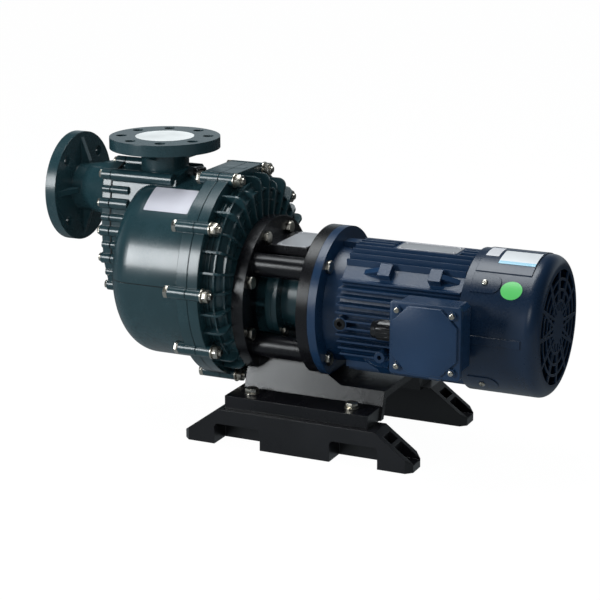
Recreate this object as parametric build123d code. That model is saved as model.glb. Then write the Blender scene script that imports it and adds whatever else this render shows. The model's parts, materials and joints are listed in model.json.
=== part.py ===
from build123d import *
import math
import os

# Self-priming chemical pump, close-coupled to a flanged motor, in millimetres.
# +X runs along the shaft from the pump to the motor, +Y is away from the terminal box, +Z is up.
# The origin lies on the floor, at the centre of the four anchor holes of the base rails.

os.makedirs("parts", exist_ok=True)

# Axes and heights
SHAFT_Z = 222.0             # shaft centre above the floor
CASING_RISE = 32.0          # casing centre above the shaft
CASING_Z = SHAFT_Z + CASING_RISE
SUCTION_Z = 372.0           # suction flange centre above the floor
DISCHARGE_X = -306.0        # discharge flange centre along the shaft
DISCHARGE_TOP = 470.0       # discharge flange face above the floor

# Stations along the shaft
SUCTION_FACE_X = -485.0     # face of the suction flange
COVER_FRONT_X = -397.0      # outer face of the suction cover plate
COVER_SEAM_X = -379.0       # inner face of the suction cover plate
BOWL_FRONT_X = -343.0       # front wall of the bowl
RING_FRONT_X = -195.0       # front of the body's ring flange
RING_SEAM_X = -176.0        # joint between body and rear cover
RING_REAR_X = -157.0        # back of the rear cover's ring flange
DISC_FRONT_X = -119.0       # pump side of the bracket
DISC_T = 20.0               # pump-side disc of the bracket
JOINT_X = 11.0              # joint between bracket and motor flange
JOINT_DISC_T = 20.0         # motor-side disc of the bracket

# Pipe flanges, DN 65
FLANGE_D = 185.0
FLANGE_T = 19.0
FLANGE_PCD = 145.0
FLANGE_HOLE_D = 18.0
PORT_D = 65.0
PORT_NECK_D = 80.0
SUCTION_HOLES = 4
DISCHARGE_HOLES = 8
GUSSET_T = 9.0
GUSSET_RUN = 15.0
GUSSET_EDGE = 9.0           # gusset foot inside the rim of its flange
GUSSET_TOE = 4.0            # gusset tip above the neck
PORT_FILM_D = 98.0
FILM_T = 0.8
FILM_CLEARANCE = 0.3

# Casing walls
WALL = 10.0
BOWL_R = 153.0
BOWL_ROUND = 45.0
RING_R = 174.0
BOX_REAR_X = -258.0         # back of the suction box where it runs into the bowl
COVER_GASKET_T = 1.5
CASING_GASKET_T = 1.0
EYE_R = 30.0                # suction duct to the impeller eye
EYE_DUCT_END_X = -207.0
FUNNEL_R = 52.0             # suction funnel where it meets the cover plate
FUNNEL_SETBACK = 20.0       # start of the funnel behind the suction flange
COVER_STEP = 3.0            # screw bosses in front of the cover plate
COVER_DISH = 7.0            # hollow behind the cover plate
HEAD_ROOM_L = 30.0          # free way in front of each cover screw
BODY_RIM = 2.5              # body edge outside the screw line
RIDGE_STOP = 6.0            # end of the top ridges before the back of the suction box

# Suction cover screws: height above the shaft and half width of each pair
COVER_TOP_RISE = 198.0
COVER_BOTTOM_RISE = -29.0
COVER_PAIRS = ((185.0, 49.0), (138.0, 57.5), (91.0, 60.5), (43.5, 58.5), (-7.5, 41.5))
COVER_BOSS_R = 9.5
COVER_BOSS_BACK = 33.0      # boss length behind the seam
COVER_STUB_R = 6.5          # plain ribs between the screw bosses
COVER_STUB_OUT = 1.5        # how far those ribs stand outside the screw line
COVER_SCREW_DEPTH = 20.0    # screw length behind the seam
COVER_RIM = 4.0             # plate edge outside the screw line
COVER_SCREW_D = 8.0
COVER_SCREW_AF = 13.0
COVER_SCREW_HEAD = 5.5
RIDGE_R = 10.5

# Casing bolts
CASING_BOLTS = 10
CASING_PCD = 344.0
CASING_BOSS_R = 10.0
CASING_BOSS_FRONT_X = -208.0
CASING_BOSS_REAR_X = -149.0
M12_D = 12.0
M12_AF = 19.0
M12_HEAD = 7.5
M12_NUT = 10.5
M12_WASHER_D = 24.0
M12_WASHER_T = 2.5
STUD_END = 4.0
BOLT_CLEARANCE = 0.75
BRIDGE_HALF = 44.0
BRIDGE_DEPTH = 15.0

# Rear cover
DRUM_R = 152.0              # rear cover wall between its ribs
DRUM_ROUND = 18.0
DRUM_BACK_X = -129.0        # back of that wall
RIB_COUNT = 30
RIB_T = 4.0
RIB_R = 166.0               # crest of the ribs
RIB_ROUND = 14.0
SHORT_RIB_R = 154.5         # crest of the ribs in line with a bolt
RIB_BACK_X = -120.0
RIDGE_RISE = 4.0            # ridges across the ribs
RIDGE_T = 3.0
SIDE_RIDGES_X = (-149.0, -138.0)
BACK_RIDGE_R = (140.0, 122.0)
SEAT_RING_R = 126.0         # flat seat of the bracket on the rear cover
SEAT_RING_T = 14.0
SEAT_BOSS_R = 12.0
SEAT_BOSS_L = 22.0
SEAT_THREAD_L = 17.0
HUB_R = 50.0
HUB_END_X = -75.0
HUB_FLANGE_R = 78.0
HUB_FLANGE_T = 10.0
HUB_WEBS = 8
WEB_T = 6.0
SEAL_BORE_R = 30.0
BACK_PLATE_R = 101.0
BACK_PLATE_FRONT_X = -162.0
BACK_PLATE_T = 10.0
BRACKET_PILOT_R = 90.0
PILOT_DEPTH = 6.0
PILOT_CLEARANCE = 0.1

# Volute and impeller
VOLUTE_R = 101.0
VOLUTE_INNER_R = 92.0
VOLUTE_FRONT_X = -205.0
VOLUTE_OUTLET_R = 24.0
VOLUTE_OUTLET_Y = 58.0
DUCT_CLEARANCE = 0.2
IMPELLER_R = 80.0
IMPELLER_HUB_R = 22.0
IMPELLER_FRONT_X = -193.0
IMPELLER_BACK_X = -168.0
SHROUD_T = 4.0
BLADES = 6
BLADE_T = 5.0
BLADE_R = 62.0
RUNNING_GAP = 0.05
VOLUTE_COLLAR_L = 16.0      # collar of the volute over the suction duct
VOLUTE_COLLAR_T = 8.0
OUTLET_WALL = 7.0
OUTLET_BORE_R = 16.0
OUTLET_SHIFT = 2.0          # outlet bore behind the middle of the volute
OUTLET_START = 40.0         # bottom of the outlet bore above the shaft
OUTLET_RISE = 84.0          # top of the volute outlet above the casing centre
BLADE_REACH = 18.0          # blade arc centre inside the blade radius
NUT_CAP_T = 4.0
NUT_FLAT_R = 5.0

# Shafts, bearings and shaft seal
MOTOR_SHAFT_R = 14.0
MOTOR_SHAFT_END_X = -49.0
SHAFT_STEP_R = 20.0         # motor shaft under the rotor core
SLEEVE_R = 24.0
SLEEVE_END_X = 0.0
PUMP_SHAFT_R = 15.0
SLEEVE_FRONT_X = -56.0
IMPELLER_SEAT_R = 11.0
IMPELLER_NUT_R = 17.0
IMPELLER_NUT_L = 18.0
BEARING_OD = 72.0
BEARING_ID = 30.0
BEARING_W = 19.0
BALLS = 8
BALL_R = 6.2
RACE_GROOVE = 2.2
FRONT_BEARING_X = 36.0
REAR_BEARING_X = 262.0
KEY_W = 8.0
KEY_H = 7.0
KEY_L = 40.0
GLAND_T = 10.0
GLAND_SPIGOT = 6.0
GLAND_SLEEVE_R = 58.0       # cylinder of the gland towards the motor
GLAND_SLEEVE_BORE_R = 34.0
GLAND_SLEEVE_END_X = -18.0
GLAND_PCD = 136.0
SEAT_R = 24.0
SEAT_L = 10.0
SEAL_RING_R = 22.0
SEAL_RING_L = 10.0
BELLOWS_L = 26.0
BELLOWS_FOLDS = 4
BELLOWS_SHARE = 0.55        # share of each fold that stands out
BELLOWS_WALL = 2.0
SHAFT_CLEARANCE = 1.0

# Bracket
DISC_R = 130.0
JOINT_DISC_R = 124.0
BAR_R = 19.0                # four round bars between the two discs
BAR_Y = 77.0
BAR_RISE = 67.0
HUB_ROOM_R = 82.0           # opening in each disc
PLATFORM_RISE = 95.5
PLATFORM_T = 14.0
PLATFORM_HALF = 50.0
PLATFORM_GAP = 13.0
NAMEPLATE_L = 54.0
NAMEPLATE_W = 96.0
NAMEPLATE_T = 1.0
NAMEPLATE_INSET = 2.0
BRACKET_BOLTS = 8
BRACKET_PCD = 224.0
BRACKET_BOLT_L = 34.0
SPOT_FACE_R = 12.5
SPOT_FACE_L = 10.0
FLANGE_SLOT = 1.5           # room round the motor flange in the pedestal
PEDESTAL_HALF = 93.0        # half width of the pedestal on the rails
PEDESTAL_FLARE = 0.37       # how much the half width grows per millimetre of height
PEDESTAL_WALL = 12.0
PEDESTAL_HIGH = 134.0
PEDESTAL_LOW = 105.0
PEDESTAL_END_X = 126.0
SLOPE_START_X = -5.0
SLOPE_END_X = 50.0
FOOT_T = 22.0
FOOT_HALF = 140.0
FOOT_FRONT_X = -127.0
FOOT_REAR_X = 123.0
FOOT_BOLT_X = (-92.0, 84.0)
FOOT_BOLT_Y = 112.0

# Base rails
RAIL_L = 400.0
RAIL_TOP_L = 275.0
RAIL_H = 60.0
RAIL_TOE = 14.0
RAIL_W = 50.0
RAIL_OUTER_Y = 148.0
RAIL_SKIN = 10.0
NOTCH_L = 82.0
NOTCH_H = 35.0
NOTCH_ROUND = 6.0
NOTCH_X = 102.0
POCKET_L = 52.0
POCKET_RIB = 5.0
POCKET_RIB_AT = 14.0        # cross rib from the inner end of a pocket
POCKET_FLOOR = 12.0
FOOT_THREAD_L = 22.0
ANCHOR_X = 180.0
ANCHOR_HOLE_D = 14.0
TOE_CHAMFER = 10.0

# Motor
MOTOR_FLANGE_R = 124.0
MOTOR_FLANGE_T = 14.0
MOTOR_FLANGE_PCD = 215.0
MOTOR_FLANGE_BOLTS = 4
MOTOR_PILOT_R = 90.0
MOTOR_PILOT_L = 4.0
FRAME_R = 92.0
FRAME_BORE_R = 84.0
FRAME_END_X = 272.0
FIN_R = 107.0
NECK_R = 96.0               # frame behind the flange bolts
FIN_START_X = 52.0
FIN_END_X = 252.0
FIN_T = 3.0
FIN_PITCH = 12.0
FINS_EACH_WAY = 5
PANEL_RISE = 99.0           # flat panels at 45 degrees that carry the foot pads
PANEL_W = 40.0
PAD_ANGLES = (47, 133, 227, 313)
PAD_RISE = 112.0
PAD_W = 22.0
PAD_L = 20.0
PAD_X = (113.0, 197.0)      # pump side of each foot pad
PAD_RIB_T = 9.0
PAD_RIB_L = 30.0
LUG_X = (25.0, 52.0)        # block on top, right behind the flange
LUG_HALF = 12.0
LUG_RISE = 104.0
TAPPED_BOSS_X = 131.0       # round boss below the cable gland
TAPPED_BOSS_Z = 172.0
TAPPED_BOSS_R = 9.0
TAPPED_BOSS_Y = -115.0
TAPPED_HOLE_R = 3.5
TAPPED_HOLE_L = 14.0
FRAME_PLUG_X = 60.0
FRAME_PLUG_Z = 216.0
FRAME_PLUG_R = 9.5
FRAME_PLUG_Y = -108.0       # outer end of the plug
FRAME_PLUG_SOCKET_AF = 8.0
FRAME_PLUG_SOCKET_L = 6.0
PLATE_PAD_L = 111.0
PLATE_PAD_W = 50.0
PLATE_PAD_RISE = 104.0
PLATE_PAD_X = 170.0
PLATE_MARGIN = 5.0
CORE_X = (95.0, 235.0)
STATOR_BORE_R = 52.0
AIR_GAP = 0.5
WINDING_L = 24.0
WINDING_R = (60.0, 78.0)
END_RING_L = 12.0           # end rings of the rotor
END_RING_R = (34.0, 46.0)
SHIELD_T = 16.0
SHIELD_SPIGOT_L = 8.0       # shields inside the frame
SHIELD_HUB_R = 46.0
REAR_SHIELD_R = 98.0

# Fan and cowl
COWL_R = 112.5
COWL_T = 2.5
COWL_LUG_ANGLES = (45, 135, 225, 315)
COWL_FRONT_X = 256.0
COWL_END_X = 383.0
COWL_ROUND = 20.0
COWL_LUG_W = 24.0
COWL_SCREW_X = 289.0
COWL_LUG_REACH = 8.0        # cowl lugs past the end shield
COWL_PANEL_RISE = 1.5       # raised panels and bands on the cowl
COWL_PANEL_X = (268.0, 358.0)
COWL_PANEL_HALF = 64.0
COWL_BAND_Z = (213.0, 226.0)
COWL_PAD_X = (268.0, 315.0)
COWL_PAD_W = 34.0
GRILLE_RINGS = ((26.0, 39.5), (43.5, 56.5), (60.5, 73.5), (77.5, 90.5))
GRILLE_POINTS = 12          # points of the zigzag across the grille
GRILLE_BAR = 4.0
FAN_R = 92.0
FAN_X = 302.0
FAN_W = 42.0
FAN_BLADES = 7
FAN_BLADE_T = 3.5
FAN_HUB_R = 26.0
FAN_DISC_T = 4.0
FAN_DISC_AT = 12.0          # fan disc before the end of its hub

# Terminal box
BOX_X = 229.0
BOX_RISE = 6.0
BOX_COVER = 114.0
BOX_BASE = 106.0
BOX_FACE_Y = -180.0
BOX_COVER_T = 14.0
BOX_GASKET_T = 1.5
BOX_WALL = 4.0
BOX_BACK_Y = -122.0
BOX_NECK = 76.0
BOX_CUT = 13.0
BOX_SCREW_AT = 44.0
BOX_SCREW_D = 5.0
BOX_POST_R = 7.0
BOX_FRONT_T = 5.0           # wall of the box cover
BOX_BEVEL = 2.5
GLAND_Y = -147.0
GLAND_THREAD_R = 11.5
GLAND_HEX_AF = 29.0
GLAND_BORE_R = 7.0
GLAND_BODY_L = 17.0
GLAND_CAP_L = 24.0
GLAND_COLLAR_L = 7.0        # hexagon of the gland body

# Priming and drain plugs
PRIMING_X = -241.0
PRIMING_SEAT_Z = CASING_Z + BOWL_R + 3.0
PRIMING_BOSS_R = 17.0
PRIMING_PLUG_R = 11.0
PRIMING_HEAD_H = 12.0
KNOB_FLUTES = 8
KNOB_FLUTE_R = 2.2
KNOB_COLLAR_H = 3.0
PLUG_THREAD_R = 8.0
PLUG_THREAD_L = 14.0
PLUG_CLEARANCE = 0.05
DRAIN_Z = 117.0
DRAIN_FACE_X = -350.0
DRAIN_BOSS_R = 14.0
DRAIN_HEAD_AF = 22.0
DRAIN_HEAD_L = 11.0


def save(name, shape):
    """Write one node as a STEP file."""
    export_step(shape, f"parts/{name}.step")


def rod(x0, x1, radius, y=0.0, z=SHAFT_Z):
    """A solid cylinder along X from x0 to x1."""
    return Pos((x0 + x1) / 2, y, z) * Rot(0, 90, 0) * Cylinder(radius, abs(x1 - x0))


def tube(x0, x1, outer, inner, y=0.0, z=SHAFT_Z):
    """A hollow cylinder along X."""
    return rod(x0, x1, outer, y, z) - rod(x0 - 1, x1 + 1, inner, y, z)


def cone(x0, x1, r0, r1, y=0.0, z=SHAFT_Z):
    """A cone along X with radius r0 at x0 and r1 at x1."""
    return Pos((x0 + x1) / 2, y, z) * Rot(0, 90, 0) * Cone(r0, r1, x1 - x0)


def post(z0, z1, radius, x, y):
    """A solid cylinder along Z."""
    return Pos(x, y, (z0 + z1) / 2) * Cylinder(radius, z1 - z0)


def block(x0, x1, y0, y1, z0, z1):
    """A box between two corners."""
    return Pos((x0 + x1) / 2, (y0 + y1) / 2, (z0 + z1) / 2) * Box(x1 - x0, y1 - y0, z1 - z0)


def hex_rod(x0, x1, across_flats, y, z):
    """A hexagonal bar along X."""
    profile = RegularPolygon(across_flats / 2, 6, major_radius=False)
    return Pos(min(x0, x1), y, z) * Rot(0, 90, 0) * extrude(profile, abs(x1 - x0))


def hex_post(z0, z1, across_flats, x, y):
    """A hexagonal bar along Z."""
    profile = RegularPolygon(across_flats / 2, 6, major_radius=False)
    return Pos(x, y, z0) * extrude(profile, z1 - z0)


def around(count, pcd, first=0.0, z=SHAFT_Z):
    """Points (y, z) on a bolt circle about an axis along X."""
    angles = [math.radians(first + 360.0 * i / count) for i in range(count)]
    return [(pcd / 2 * math.cos(a), z + pcd / 2 * math.sin(a)) for a in angles]


def fuse(shapes):
    """Join a list of solids into one."""
    first = shapes[0]
    return first.fuse(*shapes[1:]) if len(shapes) > 1 else first


def cut(shape, tools):
    """Cut a list of tools from a solid."""
    return shape.cut(*tools)


def cover_points():
    """Screw places of the suction cover as (y, z), in order round the edge."""
    right = [(half, SHAFT_Z + rise) for rise, half in COVER_PAIRS]
    left = [(-half, SHAFT_Z + rise) for rise, half in reversed(COVER_PAIRS)]
    return [(0.0, SHAFT_Z + COVER_TOP_RISE)] + right + [(0.0, SHAFT_Z + COVER_BOTTOM_RISE)] + left


def cover_stubs():
    """Places of the plain ribs between the screw bosses as (y, z)."""
    stubs = []
    for (rise0, half0), (rise1, half1) in zip(COVER_PAIRS, COVER_PAIRS[1:]):
        half = (half0 + half1) / 2 + COVER_STUB_OUT
        rise = (rise0 + rise1) / 2
        stubs += [(side * half, SHAFT_Z + rise) for side in (1, -1)]
    return stubs


def box_prism(x0, x1, grow):
    """The suction box outline, grown or shrunk by an amount, between two stations."""
    points = cover_points()
    face = make_face(Polyline(*[(y, z) for y, z in points], close=True))
    face = offset(face, amount=grow, kind=Kind.ARC if grow > 0 else Kind.INTERSECTION)
    plane = Plane(origin=(x0, 0, 0), x_dir=(0, 1, 0), z_dir=(1, 0, 0))
    return extrude(plane * face, x1 - x0)


def flange_gussets(centre_z, angles, neck_r, rear_x):
    """Four gussets on the back of a flange whose axis runs along X."""
    outline = Polyline(
        (rear_x - 1, neck_r - 3),
        (rear_x - 1, FLANGE_D / 2 - GUSSET_EDGE),
        (rear_x, FLANGE_D / 2 - GUSSET_EDGE),
        (rear_x + GUSSET_RUN, neck_r + GUSSET_TOE),
        (rear_x + GUSSET_RUN, neck_r - 3),
        close=True,
    )
    plate = extrude(Plane.XZ * make_face(outline), GUSSET_T / 2, both=True)
    return [Pos(0, 0, centre_z) * Rot(angle, 0, 0) * plate for angle in angles]


def make_suction_cover():
    """Cover plate with its screw bosses, funnel, neck and suction flange."""
    rear_x = SUCTION_FACE_X + FLANGE_T
    plate = box_prism(COVER_FRONT_X + COVER_STEP, COVER_SEAM_X, COVER_RIM)
    bosses = [rod(COVER_FRONT_X, COVER_SEAM_X, COVER_BOSS_R, y, z) for y, z in cover_points()]
    bosses += [rod(COVER_FRONT_X + COVER_STEP, COVER_SEAM_X, COVER_STUB_R, y, z) for y, z in cover_stubs()]
    flange = rod(SUCTION_FACE_X, rear_x, FLANGE_D / 2, z=SUCTION_Z)
    neck = rod(rear_x - 1, COVER_FRONT_X, PORT_NECK_D / 2, z=SUCTION_Z)
    funnel = cone(rear_x + FUNNEL_SETBACK, COVER_FRONT_X + 5, PORT_NECK_D / 2, FUNNEL_R, z=SUCTION_Z)
    funnel = funnel & box_prism(rear_x, COVER_FRONT_X + 6, COVER_RIM)
    gussets = flange_gussets(SUCTION_Z, (0, 90, 180, 270), PORT_NECK_D / 2, rear_x)
    solid = fuse([plate, flange, neck, funnel] + bosses + gussets)
    holes = [
        rod(SUCTION_FACE_X - 1, rear_x + 8, FLANGE_HOLE_D / 2, y, z)
        for y, z in around(SUCTION_HOLES, FLANGE_PCD, 45, SUCTION_Z)
    ]
    screw_r = COVER_SCREW_D / 2 + BOLT_CLEARANCE
    holes += [rod(COVER_FRONT_X - 1, COVER_SEAM_X + 1, screw_r, y, z) for y, z in cover_points()]
    head_room = COVER_SCREW_AF / math.sqrt(3) + BOLT_CLEARANCE
    holes += [rod(COVER_FRONT_X - HEAD_ROOM_L, COVER_FRONT_X, head_room, y, z) for y, z in cover_points()]
    port = rod(SUCTION_FACE_X - 1, COVER_SEAM_X + 1, PORT_D / 2, z=SUCTION_Z)
    dish = box_prism(COVER_SEAM_X - COVER_DISH, COVER_SEAM_X + 1, -WALL)
    return cut(solid, holes + [port, dish])


def make_cover_gasket():
    """Flat gasket between the suction cover and the body."""
    x1 = COVER_SEAM_X + COVER_GASKET_T
    ring = box_prism(COVER_SEAM_X, x1, COVER_RIM) - box_prism(COVER_SEAM_X - 1, x1 + 1, -WALL)
    screw_r = COVER_SCREW_D / 2 + BOLT_CLEARANCE
    return cut(ring, [rod(COVER_SEAM_X - 1, x1 + 1, screw_r, y, z) for y, z in cover_points()])


def make_cover_screws():
    """Hexagon screws of the suction cover."""
    screws = []
    for y, z in cover_points():
        head = hex_rod(COVER_FRONT_X - COVER_SCREW_HEAD, COVER_FRONT_X, COVER_SCREW_AF, y, z)
        shank_end = COVER_SEAM_X + COVER_SCREW_DEPTH
        screws.append(head + rod(COVER_FRONT_X, shank_end, COVER_SCREW_D / 2, y, z))
    return Compound(children=screws)


def bowl_solid(front_x, rear_x, radius, rounding):
    """A cylinder about the casing axis with a rounded front edge."""
    profile = Polyline((front_x, 0), (front_x, radius), (rear_x, radius), (rear_x, 0), close=True)
    face = make_face(profile)
    corner = face.vertices().sort_by(Axis.X)[0:2].sort_by(Axis.Y)[-1]
    face = fillet(corner, rounding)
    solid = revolve(Plane.XZ * face, Axis.X)
    return Pos(0, 0, CASING_Z) * solid


def casing_bridge(x0, x1):
    """Flat blocks that join the two top and the two bottom bolt bosses."""
    reach = CASING_PCD / 2 * math.cos(math.pi / CASING_BOLTS)
    blocks = []
    for side in (1, -1):
        z0 = CASING_Z + side * (reach + CASING_BOSS_R)
        z1 = z0 - side * BRIDGE_DEPTH * 2
        blocks.append(block(x0, x1, -BRIDGE_HALF, BRIDGE_HALF, min(z0, z1), max(z0, z1)))
    return blocks


def casing_bolt_points():
    """Casing bolt places as (y, z)."""
    return around(CASING_BOLTS, CASING_PCD, 0, CASING_Z)


def make_pump_body():
    """Suction box, bowl, ring flange and discharge flange as one moulding."""
    seam = COVER_SEAM_X + COVER_GASKET_T
    outer = [
        box_prism(seam, BOX_REAR_X, BODY_RIM),
        bowl_solid(BOWL_FRONT_X, RING_SEAM_X, BOWL_R, BOWL_ROUND),
        rod(RING_FRONT_X, RING_SEAM_X, RING_R, z=CASING_Z),
    ]
    outer += [rod(seam, seam + COVER_BOSS_BACK, COVER_BOSS_R, y, z) for y, z in cover_points()]
    outer += [rod(seam, seam + COVER_BOSS_BACK, COVER_STUB_R, y, z) for y, z in cover_stubs()]
    ridge_rise, ridge_half = COVER_PAIRS[0]
    for side in (1, -1):
        outer.append(rod(seam, BOX_REAR_X - RIDGE_STOP, RIDGE_R, side * ridge_half, SHAFT_Z + ridge_rise))
    outer += casing_bridge(CASING_BOSS_FRONT_X, RING_SEAM_X)
    outer += [rod(CASING_BOSS_FRONT_X, RING_SEAM_X, CASING_BOSS_R, y, z) for y, z in casing_bolt_points()]
    neck_low = CASING_Z + BOWL_R / 2
    rim_low = DISCHARGE_TOP - FLANGE_T
    outer.append(post(neck_low, rim_low + 1, PORT_NECK_D / 2, DISCHARGE_X, 0))
    outer.append(post(rim_low, DISCHARGE_TOP, FLANGE_D / 2, DISCHARGE_X, 0))
    for gusset in flange_gussets(0, (0, 90, 180, 270), PORT_NECK_D / 2, 0):
        outer.append(Pos(DISCHARGE_X, 0, rim_low) * Rot(0, 90, 0) * gusset)
    outer.append(post(CASING_Z + BOWL_R - 20, PRIMING_SEAT_Z, PRIMING_BOSS_R, PRIMING_X, 0))
    outer.append(rod(DRAIN_FACE_X, BOWL_FRONT_X + BOWL_ROUND, DRAIN_BOSS_R, 0, DRAIN_Z))
    solid = fuse(outer)

    wall_x = BOWL_FRONT_X + WALL
    chamber = box_prism(seam - 1, BOWL_FRONT_X, -WALL)
    bowl = bowl_solid(wall_x, RING_SEAM_X + 1, BOWL_R - WALL, BOWL_ROUND - WALL)
    crown = box_prism(wall_x, BOX_REAR_X - WALL, -WALL)
    crown = crown & block(wall_x, BOX_REAR_X, -200, 200, CASING_Z, DISCHARGE_TOP)
    solid = cut(solid, [chamber, bowl, crown])
    duct = rod(wall_x - 1, EYE_DUCT_END_X, EYE_R + WALL)
    solid = solid + duct
    tools = [rod(BOWL_FRONT_X - 1, EYE_DUCT_END_X + 1, EYE_R)]
    tools.append(post(CASING_Z + BOWL_R / 2, DISCHARGE_TOP + 1, PORT_D / 2, DISCHARGE_X, 0))
    tools += [
        Pos(DISCHARGE_X + y, z, rim_low) * Cylinder(FLANGE_HOLE_D / 2, 4 * FLANGE_T)
        for y, z in around(DISCHARGE_HOLES, FLANGE_PCD, 22.5, 0)
    ]
    tools += [
        rod(seam - 1, COVER_SEAM_X + COVER_SCREW_DEPTH + 1, COVER_SCREW_D / 2 + PLUG_CLEARANCE, y, z)
        for y, z in cover_points()
    ]
    film_r = PORT_FILM_D / 2 + FILM_CLEARANCE
    tools.append(post(DISCHARGE_TOP - FILM_T, DISCHARGE_TOP + 1, film_r, DISCHARGE_X, 0))
    bolt_r = M12_D / 2 + BOLT_CLEARANCE
    tools += [rod(CASING_BOSS_FRONT_X - 1, RING_SEAM_X + 1, bolt_r, y, z) for y, z in casing_bolt_points()]
    thread_r = PLUG_THREAD_R + PLUG_CLEARANCE
    tools.append(post(CASING_Z + BOWL_R - 2 * WALL, PRIMING_SEAT_Z + 1, thread_r, PRIMING_X, 0))
    tools.append(rod(DRAIN_FACE_X - 1, BOWL_FRONT_X + BOWL_ROUND + 5, thread_r, 0, DRAIN_Z))
    return cut(solid, tools)


def drum(front_x, rear_x, radius, rounding):
    """A cylinder about the casing axis with a rounded rear edge."""
    outline = Polyline((front_x, 0), (front_x, radius), (rear_x, radius), (rear_x, 0), close=True)
    face = make_face(outline)
    corner = face.vertices().sort_by(Axis.X)[-2:].sort_by(Axis.Y)[-1]
    face = fillet(corner, rounding)
    return Pos(0, 0, CASING_Z) * revolve(Plane.XZ * face, Axis.X)


def cover_ribs():
    """Radial ribs of the rear cover; the ones in line with a bolt are short."""
    front_x = RING_REAR_X - 2
    tall = drum(front_x, RIB_BACK_X, RIB_R, RIB_ROUND)
    short = drum(front_x, RIB_BACK_X, SHORT_RIB_R, RIB_ROUND)
    mid_x = (front_x + RIB_BACK_X) / 2
    plate = Box(2 * (RIB_BACK_X - front_x), 4 * RIB_R, RIB_T)
    ribs = []
    for i in range(RIB_COUNT // 2):
        in_line = i % (RIB_COUNT // CASING_BOLTS) == 0
        placed = Pos(mid_x, 0, CASING_Z) * Rot(360.0 / RIB_COUNT * i, 0, 0) * plate
        ribs.append(placed & (short if in_line else tall))
    return ribs


def cover_ridges():
    """Rings across the ribs, round the drum and on its back."""
    rings = [rod(x - RIDGE_T / 2, x + RIDGE_T / 2, DRUM_R + RIDGE_RISE, z=CASING_Z)
             for x in SIDE_RIDGES_X]
    rings += [
        tube(DRUM_BACK_X - DRUM_ROUND, DRUM_BACK_X + RIDGE_RISE,
             r + RIDGE_T / 2, r - RIDGE_T / 2, z=CASING_Z)
        for r in BACK_RIDGE_R
    ]
    return rings


def make_rear_cover():
    """Ribbed rear cover with the seal hub that reaches between the bracket's bars."""
    x_flange = RING_SEAM_X + CASING_GASKET_T
    bracket_points = around(BRACKET_BOLTS, BRACKET_PCD, 22.5)
    body = fuse(
        [drum(x_flange, DRUM_BACK_X, DRUM_R, DRUM_ROUND), rod(x_flange, RING_REAR_X, RING_R, z=CASING_Z)]
        + cover_ribs() + cover_ridges() + casing_bridge(x_flange, CASING_BOSS_REAR_X)
        + [rod(x_flange, CASING_BOSS_REAR_X, CASING_BOSS_R, y, z) for y, z in casing_bolt_points()]
    )
    body = body - drum(x_flange - 1, DRUM_BACK_X - WALL, DRUM_R - WALL, DRUM_ROUND - WALL)
    parts = [body, rod(DISC_FRONT_X - SEAT_RING_T, DISC_FRONT_X, SEAT_RING_R)]
    parts.append(rod(BACK_PLATE_FRONT_X, BACK_PLATE_FRONT_X + BACK_PLATE_T, BACK_PLATE_R))
    parts.append(rod(BACK_PLATE_FRONT_X, HUB_END_X, HUB_R))
    parts.append(rod(DISC_FRONT_X - 1, DISC_FRONT_X + PILOT_DEPTH, BRACKET_PILOT_R - PILOT_CLEARANCE))
    parts.append(rod(HUB_END_X - HUB_FLANGE_T, HUB_END_X, HUB_FLANGE_R))
    web_top = HUB_FLANGE_R - 4
    for i in range(HUB_WEBS):
        web = block(DISC_FRONT_X + 1, HUB_END_X - 1, HUB_R - 4, web_top, -WEB_T / 2, WEB_T / 2)
        parts.append(Pos(0, 0, SHAFT_Z) * Rot(360.0 / HUB_WEBS * i, 0, 0) * web)
    parts += [rod(DISC_FRONT_X - SEAT_BOSS_L, DISC_FRONT_X, SEAT_BOSS_R, y, z) for y, z in bracket_points]
    solid = fuse(parts)
    bolt_r = M12_D / 2 + BOLT_CLEARANCE
    tools = [rod(x_flange - 1, CASING_BOSS_REAR_X + 1, bolt_r, y, z) for y, z in casing_bolt_points()]
    tools.append(rod(BACK_PLATE_FRONT_X - 1, HUB_END_X + 1, SEAL_BORE_R))
    thread_r = M12_D / 2 + PLUG_CLEARANCE
    tools += [rod(DISC_FRONT_X - SEAT_THREAD_L, DISC_FRONT_X + 1, thread_r, y, z) for y, z in bracket_points]
    tools += [rod(HUB_END_X - HUB_FLANGE_T - 1, HUB_END_X + 1, COVER_SCREW_D / 2 + PLUG_CLEARANCE, y, z)
              for y, z in around(4, GLAND_PCD, 45)]
    return cut(solid, tools)


def make_casing_gasket():
    """Flat gasket between the body and the rear cover."""
    x1 = RING_SEAM_X + CASING_GASKET_T
    return tube(RING_SEAM_X, x1, CASING_PCD / 2 - CASING_BOSS_R, BOWL_R - WALL + 1, z=CASING_Z)


def make_casing_bolts():
    """Hexagon bolts through both ring flanges."""
    end_x = CASING_BOSS_REAR_X + M12_WASHER_T + M12_NUT + STUD_END
    bolts = []
    for y, z in casing_bolt_points():
        head = hex_rod(CASING_BOSS_FRONT_X - M12_HEAD, CASING_BOSS_FRONT_X, M12_AF, y, z)
        bolts.append(head + rod(CASING_BOSS_FRONT_X, end_x, M12_D / 2, y, z))
    return Compound(children=bolts)


def make_casing_washers():
    """Plain washers under the casing nuts."""
    x1 = CASING_BOSS_REAR_X + M12_WASHER_T
    inner = M12_D / 2 + BOLT_CLEARANCE / 2
    return Compound(children=[
        tube(CASING_BOSS_REAR_X, x1, M12_WASHER_D / 2, inner, y, z) for y, z in casing_bolt_points()
    ])


def make_casing_nuts():
    """Hexagon nuts on the casing bolts."""
    x0 = CASING_BOSS_REAR_X + M12_WASHER_T
    x1 = x0 + M12_NUT
    return Compound(children=[
        hex_rod(x0, x1, M12_AF, y, z) - rod(x0 - 1, x1 + 1, M12_D / 2 + PLUG_CLEARANCE, y, z)
        for y, z in casing_bolt_points()
    ])


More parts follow.
